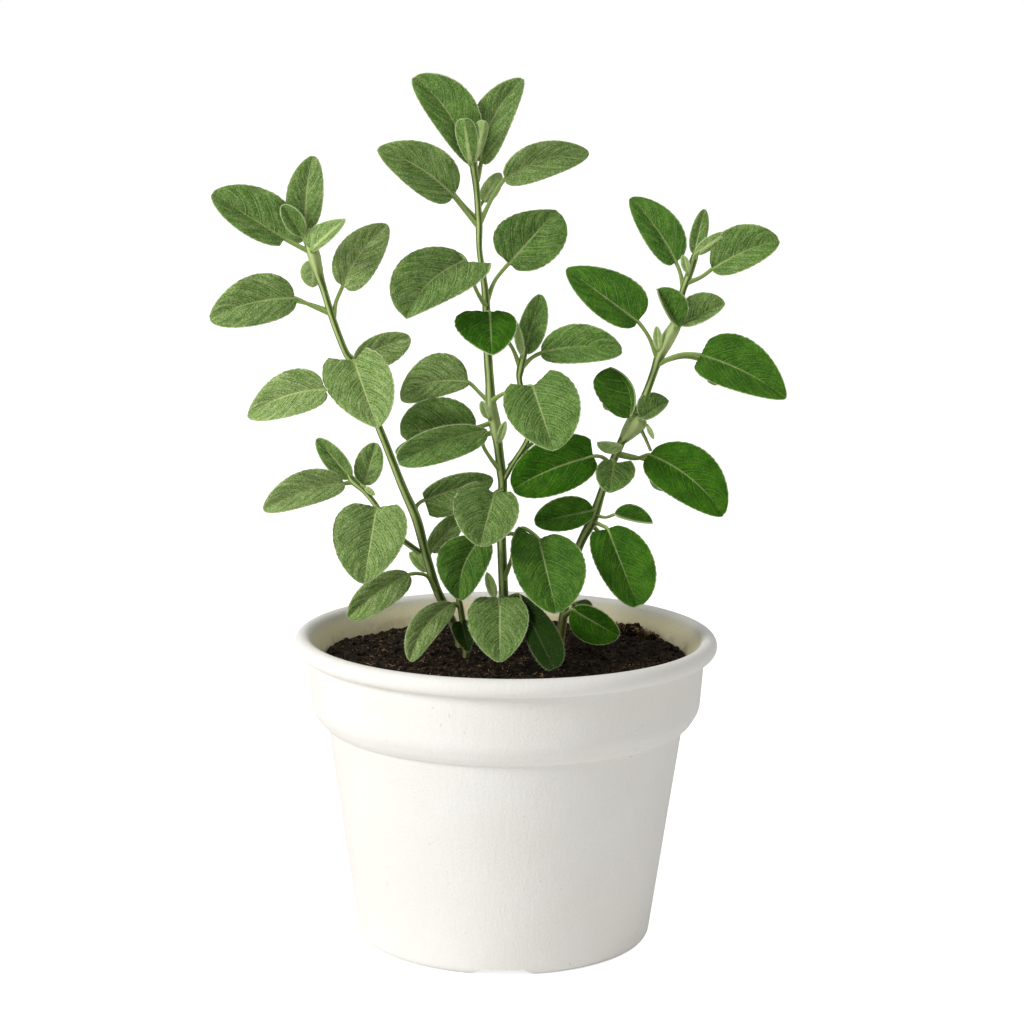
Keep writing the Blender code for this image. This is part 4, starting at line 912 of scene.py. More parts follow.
@dataclass(frozen=True)
class LeafFinish:
    """Velvety upper side with sunken pale veins and painted shade beside them, a paler underside with
    raised ones.
    """

    deep: Colour = (30, 76, 2)
    middle: Colour = (72, 121, 15)
    dull: Colour = (108, 146, 54)
    pale: Colour = (190, 205, 142)
    # pale hairs, partly a painted sheen of them
    hair_and_sheen: Colour = (218, 228, 192)
    vein: Colour = (206, 218, 150)
    margin: Colour = (200, 216, 160)
    under: Colour = (132, 160, 98)
    under_vein: Colour = (174, 194, 132)
    young: Colour = (168, 196, 118)
    # painted shade: the colour of leaves that lie in shade
    painted_shade: Colour = (20, 34, 8)
    sheen: Colour = (206, 228, 170)
    speckles: float = 3100.0  # in a metre, like the patches and the net's cells
    patches: float = 210.0
    net: float = 820.0
    vein_fade: Pair = (0.03, 0.26)  # millimetres from a vein, like the next
    vein_groove_shade_fade: Pair = (0.2, 1.0)
    margin_fade: Pair = (0.02, 0.36)  # millimetres from the margin, like the next two
    vein_ends: Pair = (0.5, 5.0)
    inner_starts: Pair = (0.3, 2.4)
    relief: float = 0.5

    def material(self) -> bpy.types.Material:
        """Makes the material.

        Returns:
            The material.
        """
        painter = Painter("leaf_finish", Sheen_Weight=0.04, Sheen_Roughness=0.45,
                          Sheen_Tint=linear(self.sheen), Specular_IOR_Level=0.08)
        off, along, vein_count = painter.stored("leaf_where")
        edge, spacing, seed = painter.stored("leaf_span")
        # young is 1 on young leaves and buds, and -1 on leaves painted dark as shade
        upper, tone, young = painter.stored("leaf_kind")

        streaks = painter.grain(1.0, 3.0, painter.joined(vein_count * 6, off * 0.6, seed))
        speckle = painter.grain(self.speckles, 3.0)
        patches = painter.grain(self.patches, 3.0)
        net = painter.cells(self.net).band(0.0, 0.3)
        stray = (patches - 0.5) * 0.22
        from_vein = abs((vein_count + stray + 0.5).fraction() - 0.5) * spacing
        inner = edge.band(*self.inner_starts)
        midrib = off.band(0.1, 0.78 - 0.46 * along, 1.0, 0.0) * along.band(0.5, 1.0, 1.0, 0.4)
        vein = from_vein.band(*self.vein_fade, 1.0, 0.0) * edge.band(*self.vein_ends)
        # painted shade in the grooves on both sides of each vein
        vein_groove_shade = from_vein.band(*self.vein_groove_shade_fade, 1.0, 0.0) * (1 - vein) * inner
        rough = (streaks * 0.42 + speckle * 0.46 + net * 0.06).band(0.34, 0.6)

        green = painter.mix(patches.band(0.3, 0.7) * 0.4 + rough * 0.6, self.deep, self.middle)
        # tone is the leaf's down, set partly as painted light and shade
        green = painter.mix(tone, green, painter.mix(rough, self.dull, self.pale))
        green = painter.mix(young * 0.6, green, self.young)
        # pale flecks: the white hairs' own colour, partly a painted sheen of them
        fuzz = speckle.band(0.5, 0.72) * (tone * 0.34 + 0.02)
        # painted shade beside the veins, and random darker patches
        top = painter.mix(vein_groove_shade * 0.4 + patches.band(0.6, 0.35) * 0.2, green, self.deep)
        top = painter.mix(fuzz, top, self.hair_and_sheen)
        top = painter.mix(vein * (tone * 0.38 + 0.1), top, self.vein)
        top = painter.mix(midrib * (tone * 0.42 + 0.36), top, self.vein)
        below = painter.mix(rough * 0.4, self.under, self.middle)
        below = painter.mix(vein * 0.5, below, self.under_vein)
        below = painter.mix(midrib * 0.9, below, self.under_vein)
        colour = painter.mix(upper, below, top)
        colour = painter.mix(edge.band(*self.margin_fade, 0.75, 0.0), colour, self.margin)
        # painted shade: a third kind value below 0 darkens leaves that lie in shade
        colour = painter.mix(young * -0.8, colour, self.painted_shade)

        raised = (vein * 0.8 + vein_groove_shade * 0.2) * (upper * -2 + 1) + midrib * 0.5
        height = raised * 0.35 + streaks * 0.34 + speckle * 0.26 + net * 0.16 + 0.2
        return painter.finish(colour, speckle * 0.2 + 0.6, height, self.relief, 0.9)


@dataclass(frozen=True)
class StemFinish:
    """Yellow-green stem with pale ridges and joints, grooves painted darker as shade, and a browner
    foot.
    """

    # painted shade in the grooves; the pale ridges partly a painted highlight
    stem_groove_shade: Colour = (66, 92, 28)
    ridge: Colour = (176, 192, 120)
    foot: Colour = (126, 118, 66)
    stalk: Colour = (156, 180, 100)
    joint: Colour = (186, 202, 136)
    sheen: Colour = (226, 232, 196)
    ridges: int = 4
    stalk_ridges: int = 2
    swollen_radii: Pair = (1.3, 1.9)
    swollen_from: Pair = (150.0, 156.0)  # no joint lower than this is pale
    foot_levels: Pair = (86.0, 114.0)
    fuzz: float = 3200.0  # grains in a metre
    relief: float = 0.12

    def material(self) -> bpy.types.Material:
        """Makes the material.

        Returns:
            The material.
        """
        painter = Painter("stem_finish", Sheen_Weight=0.1, Sheen_Roughness=0.5,
                          Sheen_Tint=linear(self.sheen), Specular_IOR_Level=0.2)
        turn, along, radius = painter.stored("stem_where")
        is_stalk, level, seed = painter.stored("stem_kind")
        streak = painter.grain(1.0, 3.0, painter.joined(turn * 9, along * 0.16, seed * 7))
        # pale on the mesh's ridges, dark in its grooves: painted highlight and painted shade
        ridges = (turn * self.ridges).wave() * 0.5 + 0.5
        lines = (turn * self.stalk_ridges).wave() * 0.5 + 0.5
        ridge_and_groove_shade = ridges * (1 - is_stalk) + lines * is_stalk
        colour = painter.mix((ridge_and_groove_shade * 0.9 + streak * 1.1 - 0.55).band(0.0, 1.0),
                             self.stem_groove_shade, self.ridge)
        colour = painter.mix(is_stalk * 0.5, colour, self.stalk)
        swollen = radius.band(*self.swollen_radii) * level.band(*self.swollen_from)
        colour = painter.mix(swollen * (streak * 0.6 + 0.3), colour, self.joint)
        colour = painter.mix(level.band(*self.foot_levels, 0.6, 0.0), colour, self.foot)
        height = streak * 0.7 + painter.grain(self.fuzz, 2.0) * 0.3
        return painter.finish(colour, streak * 0.2 + 0.45, height, self.relief, 0.8)


@dataclass(frozen=True)
class HairFinish:
    """Short pale hairs, some a little greener than others."""

    light: Colour = (226, 234, 202)
    green: Colour = (176, 194, 134)
    spots: float = 500.0  # in a metre
    relief: float = 0.02

    def material(self) -> bpy.types.Material:
        """Makes the material.

        Returns:
            The material.
        """
        painter = Painter("hair_finish", Specular_IOR_Level=0.3)
        spots = painter.grain(self.spots, 2.0)
        colour = painter.mix(spots.band(0.3, 0.7), self.light, self.green)
        return painter.finish(colour, spots * 0.2 + 0.5, spots, self.relief, 0.3)


@dataclass(frozen=True)
class SoilFinish:
    """Dark moist soil with brown crumbs and a few lighter flecks."""

    dark: Colour = (8, 5, 3)
    brown: Colour = (56, 41, 23)
    fleck: Colour = (176, 146, 120)
    fleck_share: float = 0.6
    lumps: float = 420.0  # in a metre, like the three below
    crumbs: float = 1500.0
    flecks: float = 2300.0
    fleck_groups: float = 160.0
    relief: float = 0.9

    def material(self, name: str) -> bpy.types.Material:
        """Makes the material.

        Args:
            name: Its name.

        Returns:
            The material.
        """
        painter = Painter(name, Specular_IOR_Level=0.15)
        lumps, crumbs = painter.grain(self.lumps, 4.0), painter.grain(self.crumbs, 4.0)
        groups = painter.grain(self.fleck_groups, 2.0).band(0.42, 0.62)
        flecks = painter.grain(self.flecks, 1.0).band(0.64, 0.72) * groups * self.fleck_share
        colour = painter.mix((lumps * 0.5 + crumbs * 0.5).band(0.42, 0.68), self.dark, self.brown)
        colour = painter.mix(flecks, colour, self.fleck)
        height = lumps * 0.4 + crumbs * 0.6
        return painter.finish(colour, crumbs * 0.2 + 0.78, height, self.relief)


@dataclass(frozen=True)
class PotFinish:
    """Matte white with a sandy skin, its troughs and pits painted darker as shade, and soil stain and
    painted shade inside the mouth.
    """

    white: Colour = (240, 238, 233)
    warm: Colour = (236, 233, 226)
    lining: Colour = (238, 227, 188)
    # painted shade in the pits and the sand's troughs
    pit_shade: Colour = (168, 162, 148)
    # soil stain just above the soil, partly painted shade where the soil meets the wall
    soil_stain_and_shade: Colour = (198, 178, 138)
    stain_low: Pair = (86.0, 87.0)  # heights and radii between which something fades
    stain_high: Pair = (87.6, 90.2)
    stain_inside: Pair = (57.8, 58.2)
    lining_inside: Pair = (58.4, 60.9)
    lining_low: Pair = (80.0, 84.0)
    sand: float = 1500.0  # grains in a metre
    relief: float = 0.4

    def material(self) -> bpy.types.Material:
        """Makes the material.

        Returns:
            The material.
        """
        painter = Painter("pot_finish", Specular_IOR_Level=0.35)
        x, y, z = painter.split(painter.place())
        radius = painter.node("ShaderNodeMath", {"operation": "SQRT"}, {0: x * x + y * y})
        sand = painter.grain(self.sand, 3.0)
        cast = painter.grain(1.0, 3.0, painter.joined(x * 700, y * 700, z * 90))
        cloud = painter.grain(38, 3.0)
        pits = painter.grain(900, 1.0).band(0.73, 0.78) * painter.grain(60, 1.0).band(0.5, 0.6)
        radius, level = radius * (1 / MM), z * (1 / MM)
        # a line just above the soil inside: soil stain, and partly painted shade where soil meets
        # wall
        inside = radius.band(*self.stain_inside, 1.0, 0.0)
        line = level.band(*self.stain_high, 1.0, 0.0) * level.band(*self.stain_low)
        soil_line_dirt_and_shade = painter.grain(200, 5.0).band(0.4, 0.7) * line * inside
        mouth = radius.band(*self.lining_inside, 1.0, 0.0) * level.band(*self.lining_low)
        colour = painter.mix(cloud.band(0.2, 0.8), self.white, self.warm)
        colour = painter.mix(mouth, colour, self.lining)
        colour = painter.mix(cast.band(0.45, 0.75) * 0.35, colour, self.warm)
        # painted shade: the sand's troughs and the pits are darkened
        colour = painter.mix(sand.band(0.35, 0.2) * 0.1 + pits * 0.2, colour, self.pit_shade)
        # soil stain and painted shade along the soil line
        colour = painter.mix(soil_line_dirt_and_shade * 0.7, colour, self.soil_stain_and_shade)
        height = sand * 0.6 + cast * 0.4 - pits * 0.4
        return painter.finish(colour, sand * 0.12 + 0.52, height, self.relief, 0.65)


# Pot

@dataclass
class Pot:
    """White pot with a beaded rim, a broad band, and drain slots under its foot."""

    sides: int = 192
    foot_radius: float = 45.3
    foot_round: float = 3.2
    wall_slope: float = 0.138
    wall_top: float = 67.2
    wall_thick: float = 4.0
    floor_thick: float = 5.0
    band: tuple[Pair, ...] = ((55.7, 67.4), (57.6, 69.3), (59.7, 72.8), (60.9, 89.0))
    bead_centre: Pair = (62.1, 92.1)
    bead_halves: Pair = (2.6, 2.8)
    mouth: tuple[Pair, ...] = ((57.6, 89.6), (56.0, 85.9), (55.0, 74.4), (51.4, 66.9))
    foot_turn: Pair = (-90.0, -8.0)  # degrees from one end of a curve to the other
    bead_turn: Pair = (-78.0, 165.0)
    crease_round: float = 0.3
    band_round: float = 3.0
    mouth_round: float = 2.0
    drains: int = 3
    drain_place: float = 33.0
    drain_radius: float = 3.2
    drain_sides: int = 32
    drill_past: float = 2.0  # how far a cutter reaches past what it cuts
    slot_past: Pair = (1.0, 6.0)  # below the foot, and outward
    notch_wide: float = 20.0
    notch_narrow: float = 12.5
    notch_high: float = 2.2
    sharp: float = 35.0
    finish: PotFinish = PotFinish()

    def wall_radius(self, height: float) -> float:
        """Outer radius of the body at a height."""
        return self.foot_radius + self.wall_slope * height

    def outline(self) -> list[Pair]:
        """The section, from the middle of the base round the rim to the middle of the floor.

        Returns:
            Radius and height of each point.
        """
        foot = (self.foot_radius - self.foot_round, self.foot_round)
        low = arc(foot, (self.foot_round,) * 2, *self.foot_turn, 8)
        joint = tuple((first + second) / 2 for first, second in zip(*self.band[:2]))
        crease = rounded([low[-1], (self.wall_radius(self.wall_top), self.wall_top),
                          self.band[0], joint], self.crease_round, 3)
        bead = arc(self.bead_centre, self.bead_halves, *self.bead_turn, 24)
        outside = crease + rounded([joint, *self.band[1:]], self.band_round, 6)[1:]
        corner = self.wall_radius(self.floor_thick) - self.wall_thick - self.foot_round
        inner = arc((corner, self.floor_thick + self.foot_round), (self.foot_round,) * 2, 0, -90, 5)
        inside = rounded([bead[-1], *self.mouth, inner[0]], self.mouth_round, 4)
        return [(0, 0), *low, *outside[1:], *bead, *inside[1:], *inner[1:], (0, self.floor_thick)]

    def turned(self, name: str, outline: Sequence[Pair], sides: int) -> bpy.types.Mesh:
        """Turns an outline about the upright axis.

        Args:
            name: The mesh's name.
            outline: Radius and height of each point, the first and last on the axis.
            sides: Steps of one turn.

        Returns:
            A closed mesh.
        """
        shell = bmesh.new()
        corners = [shell.verts.new((radius * MM, 0, height * MM)) for radius, height in outline]
        edges = [shell.edges.new(pair) for pair in zip(corners, corners[1:])]
        bmesh.ops.spin(shell, geom=corners + edges, cent=(0, 0, 0), axis=(0, 0, 1),
                       angle=2 * math.pi, steps=sides, use_merge=True)
        bmesh.ops.remove_doubles(shell, verts=shell.verts, dist=1e-6)
        bmesh.ops.recalc_face_normals(shell, faces=shell.faces)
        return meshed(name, shell)

    def cutters(self) -> bpy.types.Collection:
        """The wedge-sided slots and the drain holes, as pieces to cut away.

        Returns:
            Their collection.
        """
        group = bpy.data.collections.new("drain_cutters")
        bpy.context.scene.collection.children.link(group)
        under, outward = self.slot_past
        slope = (self.notch_wide - self.notch_narrow) / 2 / self.notch_high
        wide, narrow = self.notch_wide / 2 + slope * under, self.notch_narrow / 2
        corners = ((-wide, -under), (wide, -under), (narrow, self.notch_high),
                   (-narrow, self.notch_high))
        points = [(place * MM, side * MM, high * MM)
                  for place in (self.drain_place, self.foot_radius + outward)
                  for side, high in corners]
        faces = [(3, 2, 1, 0), (4, 5, 6, 7)]
        faces += [(i, (i + 1) % 4, (i + 1) % 4 + 4, i + 4) for i in range(4)]
        top, bottom = self.floor_thick + self.drill_past, -self.drill_past
        section = ((0, bottom), (self.drain_radius, bottom), (self.drain_radius, top), (0, top))
        for turn in range(self.drains):
            angle = -math.pi / 2 + turn * 2 * math.pi / self.drains
            slot = bpy.data.meshes.new("slot_cutter")
            slot.from_pydata(points, [], faces)
            drill = self.turned("hole_cutter", section, self.drain_sides)
            for mesh, place in ((slot, 0.0), (drill, self.drain_place * MM)):
                thing = bpy.data.objects.new(mesh.name, mesh)
                thing.rotation_euler.z = angle
                thing.location = (place * math.cos(angle), place * math.sin(angle), 0)
                group.objects.link(thing)
        return group

    def build(self) -> None:
        """Makes the pot and lets it stand for its node."""
        pot = placed("white_pot", self.turned("white_pot", self.outline(), self.sides))
        group = self.cutters()
        modifier = pot.modifiers.new("drains", "BOOLEAN")
        modifier.operation, modifier.operand_type = "DIFFERENCE", "COLLECTION"
        modifier.collection, modifier.solver = group, "EXACT"
        graph = bpy.context.evaluated_depsgraph_get()
        mesh = bpy.data.meshes.new_from_object(pot.evaluated_get(graph))
        pot.modifiers.clear()
        pot.data = mesh
        for cutter in list(group.objects):
            bpy.data.objects.remove(cutter, do_unlink=True)
        bpy.data.collections.remove(group)
        coated(mesh, self.finish.material(), self.sharp)
        dressed(pot, "pot")


# Soil

@dataclass
class Soil:
    """Crumbly soil: an uneven bed, loose crumbs and clods on it, and fine pale fibres."""

    level: float = 87.5
    top_radius: float = 55.7
    sides: int = 220
    rings: int = 74
    inmost_ring: float = 0.012  # as a share of the radius
    ring_crowding: float = 0.8  # below 1 the rings crowd toward the wall
    tilt: float = 0.012
    swell_heights: Pair = (0.7, 0.5)
    swell_lengths: Place = (9.0, 11.0, 6.0)
    lump_height: float = 0.8
    lump_mean: float = 0.55
    lump_grain: float = 0.32
    lump_layers: int = 4
    side: tuple[Pair, ...] = ((54.7, 74.7), (51.1, 67.2), (38.5, 8.5), (37.5, 6.2), (35.3, 5.3))
    roughness: float = 0.55  # of a crumb or clod
    rough_grain: float = 1.3
    grit: float = 0.2
    crumbs: int = 3200
    crumb_sizes: Pair = (0.16, 0.95)
    chips: int = 150
    chip_sizes: Pair = (0.6, 1.5)
    clod_heap: tuple[Pair, ...] = ((40.5, 35), (36.5, 39), (44, 30.5), (33, 42.5), (47, 26))
    clods_each: int = 6
    clod_stray: float = 1.6
    clod_sizes: Pair = (0.9, 2.0)
    clod_lifts: Pair = (0.1, 1.5)
    tall_clods: tuple[Place, ...] = ((40.6, 33.0, 2.9), (36.6, 36.0, 2.2), (33.0, 39.4, 1.8))
    fibres: int = 900
    heap_fibres: int = 12  # on each clod of the heap
    heap_stray: float = 2.0
    fibre_lifts: Pair = (0.15, 2.4)  # on the bed, and on the heap
    fibre_side: Pair = (-20.0, 45.0)  # they thin out to the right between these
    fibre_lengths: Pair = (0.8, 3.6)
    fibre_bend: float = 3.2
    fibre_radius: float = 0.06
    fibre_taper: tuple[float, ...] = (0.4, 1, 1.1, 0.9, 0.3)
    thick_fibre: float = 3.2
    fibre_thickness: Pair = (0.7, 1.9)
    loose_seed: int = 21
    litter_seed: int = 22
    sharp: float = 80.0
    bed_finish: SoilFinish = SoilFinish()
    crumb_finish: SoilFinish = SoilFinish(dark=(17, 12, 8), brown=(78, 58, 36), fleck_share=0.8)
    fibre_finish: SoilFinish = SoilFinish(dark=(128, 98, 72), brown=(190, 162, 126),
                                          fleck=(228, 212, 180))

    def height(self, across: float, away: float) -> float:
        """Height of the soil's surface at a place.

        Args:
            across: Distance to the right of the axis.
            away: Distance behind it.

        Returns:
            Its height.
        """
        high, low = self.swell_heights
        wide, deep, short = self.swell_lengths
        swell = high * math.sin(across / wide + 1) * math.cos(away / deep)
        swell += low * math.sin(away / short - 2)
        lumps = noise.turbulence((across * self.lump_grain, away * self.lump_grain, 3.0),
                                 self.lump_layers, False, noise_basis="PERLIN_ORIGINAL",
                                 amplitude_scale=0.62, frequency_scale=2.1)
        return (self.level + swell - self.tilt * away
                + self.lump_height * (lumps - self.lump_mean))

    def held(self, across: float, away: float, margin: float) -> Pair:
        """A place, drawn in where it lies less than a margin from the pot's wall."""
        share = min(1, (self.top_radius - margin) / math.hypot(across, away))
        return across * share, away * share

    def bed(self) -> bpy.types.Object:
        """The uneven surface with the soil's sides and bottom, as one closed mesh.

        Returns:
            The object.
        """
        turns = 2 * math.pi * np.arange(self.sides) / self.sides
        circle = np.stack((np.cos(turns), np.sin(turns)), axis=1)
        rows = [np.column_stack((circle * radius, np.full(self.sides, high)))
                for radius, high in reversed(self.side)]
        for share in np.linspace(1, self.inmost_ring, self.rings) ** self.ring_crowding:
            spots = circle * self.top_radius * share
            rows.append(np.array([(x, y, self.height(x, y)) for x, y in spots]))
        points = np.vstack((*rows, ((0, 0, self.side[-1][1]), (0, 0, self.height(0, 0)))))
        patch = Patchwork()
        patch.add(points, grid_faces(len(rows), self.sides, closed=True),
                  end_fans(len(points) - 2, self.sides))
        return patch.build("soil_bed", self.bed_finish.material("soil_bed_finish"), self.sharp)

    def spot(self, draw: random.Random, margin: float) -> Place:
        """Draws a place on the surface.

        Args:
            draw: Source of the place.
            margin: How far it stays from the pot's wall.

        Returns:
            The place.
        """
        reach = (self.top_radius - margin) * math.sqrt(draw.uniform(0, 1))
        angle = draw.uniform(0, 2 * math.pi)
        across, away = reach * math.cos(angle), reach * math.sin(angle)
        return across, away, self.height(across, away)

    def lump(self, patch: Patchwork, place: Place, size: Place, draw: random.Random,
             fine: int) -> None:
        """Adds one rough lump.

        Args:
            patch: The mesh that it is added to.
            place: Its middle.
            size: Half its size each way.
            draw: Source of its shape.
            fine: How finely it is divided.
        """
        shell = bmesh.new()
        bmesh.ops.create_icosphere(shell, subdivisions=fine, radius=1)
        shift = Vector([draw.uniform(0, 90) for _ in range(3)])
        turn = Vector([draw.uniform(-1, 1) for _ in range(3)]).to_track_quat("Z", "Y")
        points = []
        for corner in shell.verts:
            rough = 1 + self.roughness * noise.noise(corner.co * self.rough_grain + shift)
            spread = turn @ (corner.co * (rough + self.grit * draw.uniform(-1, 1)))
            points.append(Vector(place) + spread * Vector(size))
        faces = [[corner.index for corner in face.verts] for face in shell.faces]
        shell.free()
        patch.add(points, faces)

    def loose(self) -> bpy.types.Object:
        """Crumbs, flat chips and the clods heaped at the right-hand back of the mouth.

        Returns:
            The object.
        """
        draw = random.Random(self.loose_seed)
        patch = Patchwork()
        smallest, largest = self.crumb_sizes
        for _ in range(self.crumbs):
            size = smallest + (largest - smallest) * draw.random() ** 3
            across, away, high = self.spot(draw, size + 0.3)
            self.lump(patch, (across, away, high + size * 0.2),
                      (size, size * draw.uniform(0.7, 1), size * draw.uniform(0.6, 0.9)), draw, 1)
        for _ in range(self.chips):
            size = draw.uniform(*self.chip_sizes)
            across, away, high = self.spot(draw, size + 0.5)
            self.lump(patch, (across, away, high + 0.2), (size, size * 0.5, size * 0.28), draw, 1)
        for heap in self.clod_heap:
            for _ in range(self.clods_each):
                size = draw.uniform(*self.clod_sizes)
                spot = (value + draw.gauss(0, self.clod_stray) for value in heap)
                spot = self.held(*spot, size + 0.4)
                high = self.height(*spot) + draw.uniform(*self.clod_lifts)
                self.lump(patch, (*spot, high), (size, size * 0.8, size * 0.7), draw, 2)
        for across, away, size in self.tall_clods:
            high = self.height(across, away) + size * 0.6
            self.lump(patch, (across, away, high), (size, size * 0.8, size * 0.75), draw, 3)
        finish = self.crumb_finish.material("soil_crumb_finish")
        return patch.build("soil_crumbs", finish, self.sharp)

    def fibre(self, patch: Patchwork, place: Pair, lift: float, thick: float,
              draw: random.Random) -> None:
        """Adds one fine bent fibre.

        Args:
            patch: The mesh that it is added to.
            place: Its middle.
            lift: How far it lies above the bed.
            thick: Its radius as a share of the usual one, or 0 where that is drawn.
            draw: Source of its shape.
        """
        length, angle = draw.uniform(*self.fibre_lengths), draw.uniform(0, 2 * math.pi)
        bend = draw.uniform(-self.fibre_bend, self.fibre_bend)
        route = []
        for share in (-0.5, -0.25, 0.0, 0.25, 0.5):
            x = place[0] + share * length * math.cos(angle + bend * share)
            y = place[1] + share * length * math.sin(angle + bend * share)
            x, y = self.held(x, y, 0.5)
            route.append((x, y, self.height(x, y) + lift * draw.uniform(0.5, 1.3)))
        thick = thick or draw.uniform(*self.fibre_thickness)
        radii = self.fibre_radius * np.array(self.fibre_taper) * thick
        rings, faces, _ = sweep(np.array(route), radii, 4, 0, 1)
        patch.add(rings, faces, ((3, 2, 1, 0), (16, 17, 18, 19)))

    def litter(self) -> bpy.types.Object:
        """Fine bent fibres that lie on the surface.

        Returns:
            The object.
        """
        draw = random.Random(self.litter_seed)
        patch = Patchwork()
        heap = [spot[:2] for spot in (*self.tall_clods, *self.clod_heap)
                for _ in range(self.heap_fibres)]
        for number, spot in enumerate(heap):
            spot = self.held(*(value + draw.gauss(0, self.heap_stray) for value in spot), 2.5)
            self.fibre(patch, spot, self.fibre_lifts[1],
                       0 if number % 3 else self.thick_fibre, draw)
        for _ in range(self.fibres - len(heap)):
            across, away, _ = self.spot(draw, 3.5)
            if across <= draw.uniform(*self.fibre_side):
                self.fibre(patch, (across, away), self.fibre_lifts[0], 0, draw)
        finish = self.fibre_finish.material("soil_fibre_finish")
        return patch.build("soil_fibres", finish, self.sharp)

    def build(self) -> None:
        """Makes the bed, the crumbs and the fibres, and lets them stand for the soil."""
        for piece in (self.bed(), self.loose(), self.litter()):
            dressed(piece, "soil")


# Plant

@dataclass
class LeafyStem:
    """A stem with its side shoots, stalks and leaves, and the hairs on them."""

    node: str
    shoots: tuple[Route, ...]
    leaves: tuple[Leaf, ...]
    seed: int
    leaf_seeds: int = 100  # seeds that are kept for one stem's leaves
    half_seeds: Pair = (5.3, 2.6)  # between leaves, and between the halves of one, in the finish
    step: float = 0.8
    stem_sides: int = 20
    stem_ridges: Pair = (4, 0.09)  # how many, and how high as a share of the radius
    stalk_sides: int = 12
    stalk_ridges: Pair = (2, 0.08)
    stalk_radii: Pair = (0.58, 0.45)
    stalk_end: float = 0.26
    stalk_flare: float = 1.4
    stalk_reach: float = 0.14
    thinnest: float = 0.2
    wave_height: float = 0.05
    waves: float = 2.3
    nick_depth: float = 0.01
    nick_length: float = 2.1
    blade_half: float = 0.24
    margin_thinning: float = 0.55
    fewest_veins: int = 3
    vein_gap: float = 4.7
    vein_slant: float = 0.75  # how near two veins lie, as a share of their gap along the midrib
    vein_arch: float = 0.46
    vein_start: float = 0.35
    full_width: float = 16.0  # a blade at least this wide has its whole relief
    puff: float = 0.62
    rib: float = 0.16
    rib_half: float = 0.42
    tone_stray: float = 0.05
    hair_gap: float = 0.3
    hair_lengths: Pair = (0.25, 0.7)
    hair_radius: float = 0.034
    hair_line: float = 88.0  # no hair on a stem starts lower
    hair_stray: Pair = (0.28, 0.25)  # how far hairs lean aside on a blade and on a stem
    top_strip: float = 8.0  # width of the part of a blade that the hairs on it are counted for
    top_hairs: float = 0.9  # in a square millimetre of it
    top_length: float = 0.7  # their length as a share of the others'
    top_rise: float = 0.18
    stem_hairs: float = 9.0  # in a millimetre of stem
    stalk_share: float = 0.45  # how many of these a stalk has
    shafts: Patchwork = field(default_factory=Patchwork)
    blades: Patchwork = field(default_factory=Patchwork)
    hairs: Patchwork = field(default_factory=Patchwork)

    def places(self, leaf: Leaf, stations: np.ndarray, spread: np.ndarray,
               draw: random.Random) -> tuple[np.ndarray, np.ndarray]:
        """The middle surface of a blade, as set out in the front view.

        Args:
            leaf: The leaf.
            stations: Shares of the way from foot to tip.
            spread: Shares of the half width, from -1 on the left margin to 1.
            draw: Source of the margin's waves.

        Returns:
            The places, and the half width at each in millimetres.
        """
        along, across = stations[:, None], spread[None, :]
        foot, tip = np.array(leaf.foot, float), np.array(leaf.tip, float)
        length = math.hypot(*(tip - foot)[:2])
        way = (tip - foot)[:2] / length
        leftward = np.array((-way[1], way[0]))
        on_left = across < 0
        half, nearer, lobe = (np.where(on_left, *sides) for sides in (
            (leaf.left[0], leaf.right[0]), (leaf.left[1], leaf.right[1]), leaf.lobes))
        share = np.where(on_left, *(outline_share(along, swell, leaf.base)
                                    for swell in leaf.swell))
        arch = 4 * along * (1 - along)
        out = np.abs(across)
        phase = np.where(on_left, draw.uniform(0, 1), draw.uniform(0, 1))
        nicks = 1 + self.nick_depth * np.sin(
            2 * math.pi * (leaf.length / self.nick_length * along + phase))
        reach = np.maximum(half * share * nicks, NARROWEST)
        sideways = leaf.bow[0] * arch - np.sign(across) * out * reach
        forward = along * length - lobe * out ** 1.4 * (1 - along) ** 3
        wave = self.wave_height * half * out ** 2 * np.sin(
            2 * math.pi * (self.waves * along + phase))
        toward = (foot[2] + (tip[2] - foot[2]) * along + leaf.bow[1] * arch
                  + nearer * share * out * (1.3 - 0.3 * out ** 2) + wave * share)
        seen = foot[:2] + forward[..., None] * way + sideways[..., None] * leftward
        return np.concatenate((seen, toward[..., None]), axis=-1), reach * np.ones_like(out)

    def relief(self, leaf: Leaf, along: np.ndarray, out: np.ndarray, reach: np.ndarray,
               vein_count: np.ndarray) -> np.ndarray:
        """How far a blade's surface rises between its veins and over its midrib.

        Args:
            leaf: The leaf.
            along: Shares of the way from foot to tip.
            out: Shares of the half width.
            reach: The half width at each point in millimetres.
            vein_count: How many veins lie between the foot and each point.

        Returns:
            The rise at each point in millimetres.
        """
        size = min(1.0, leaf.width / self.full_width)
        between = np.abs(np.sin(math.pi * vein_count)) ** 0.7
        puffed = self.puff * size * between * np.minimum(1, out * 2.5) * (1 - out ** 3)
        puffed = puffed * np.minimum(1, 6 * (1 - along))
        return puffed + (self.rib * size * np.exp(-(out * reach / self.rib_half) ** 2)
                         * (1 - 0.5 * along))

    def blade(self, leaf: Leaf, number: int) -> None:
        """Adds a blade with its relief, and the hairs on it.

        Args:
            leaf: The leaf.
            number: Its number on this stem.
        """
        draw = random.Random(self.seed * self.leaf_seeds + number)
        stations, spread = leaf.detail.stations, leaf.detail.spread
        places, reach = self.places(leaf, stations, spread, draw)
        middle = front(places)
        normals = unit(np.cross(np.gradient(middle, axis=1), np.gradient(middle, axis=0)))
        if leaf.hidden and normals[..., 2].mean() < 0:
            normals = -normals
        along, out = stations[:, None], np.abs(spread)[None, :]
        veins = max(self.fewest_veins, round(leaf.length / self.vein_gap))
        vein_count = veins * (along - self.vein_arch * out ** 1.4) + self.vein_start
        rise = self.relief(leaf, along, out, reach, vein_count)
        middle = middle + normals * rise[..., None]

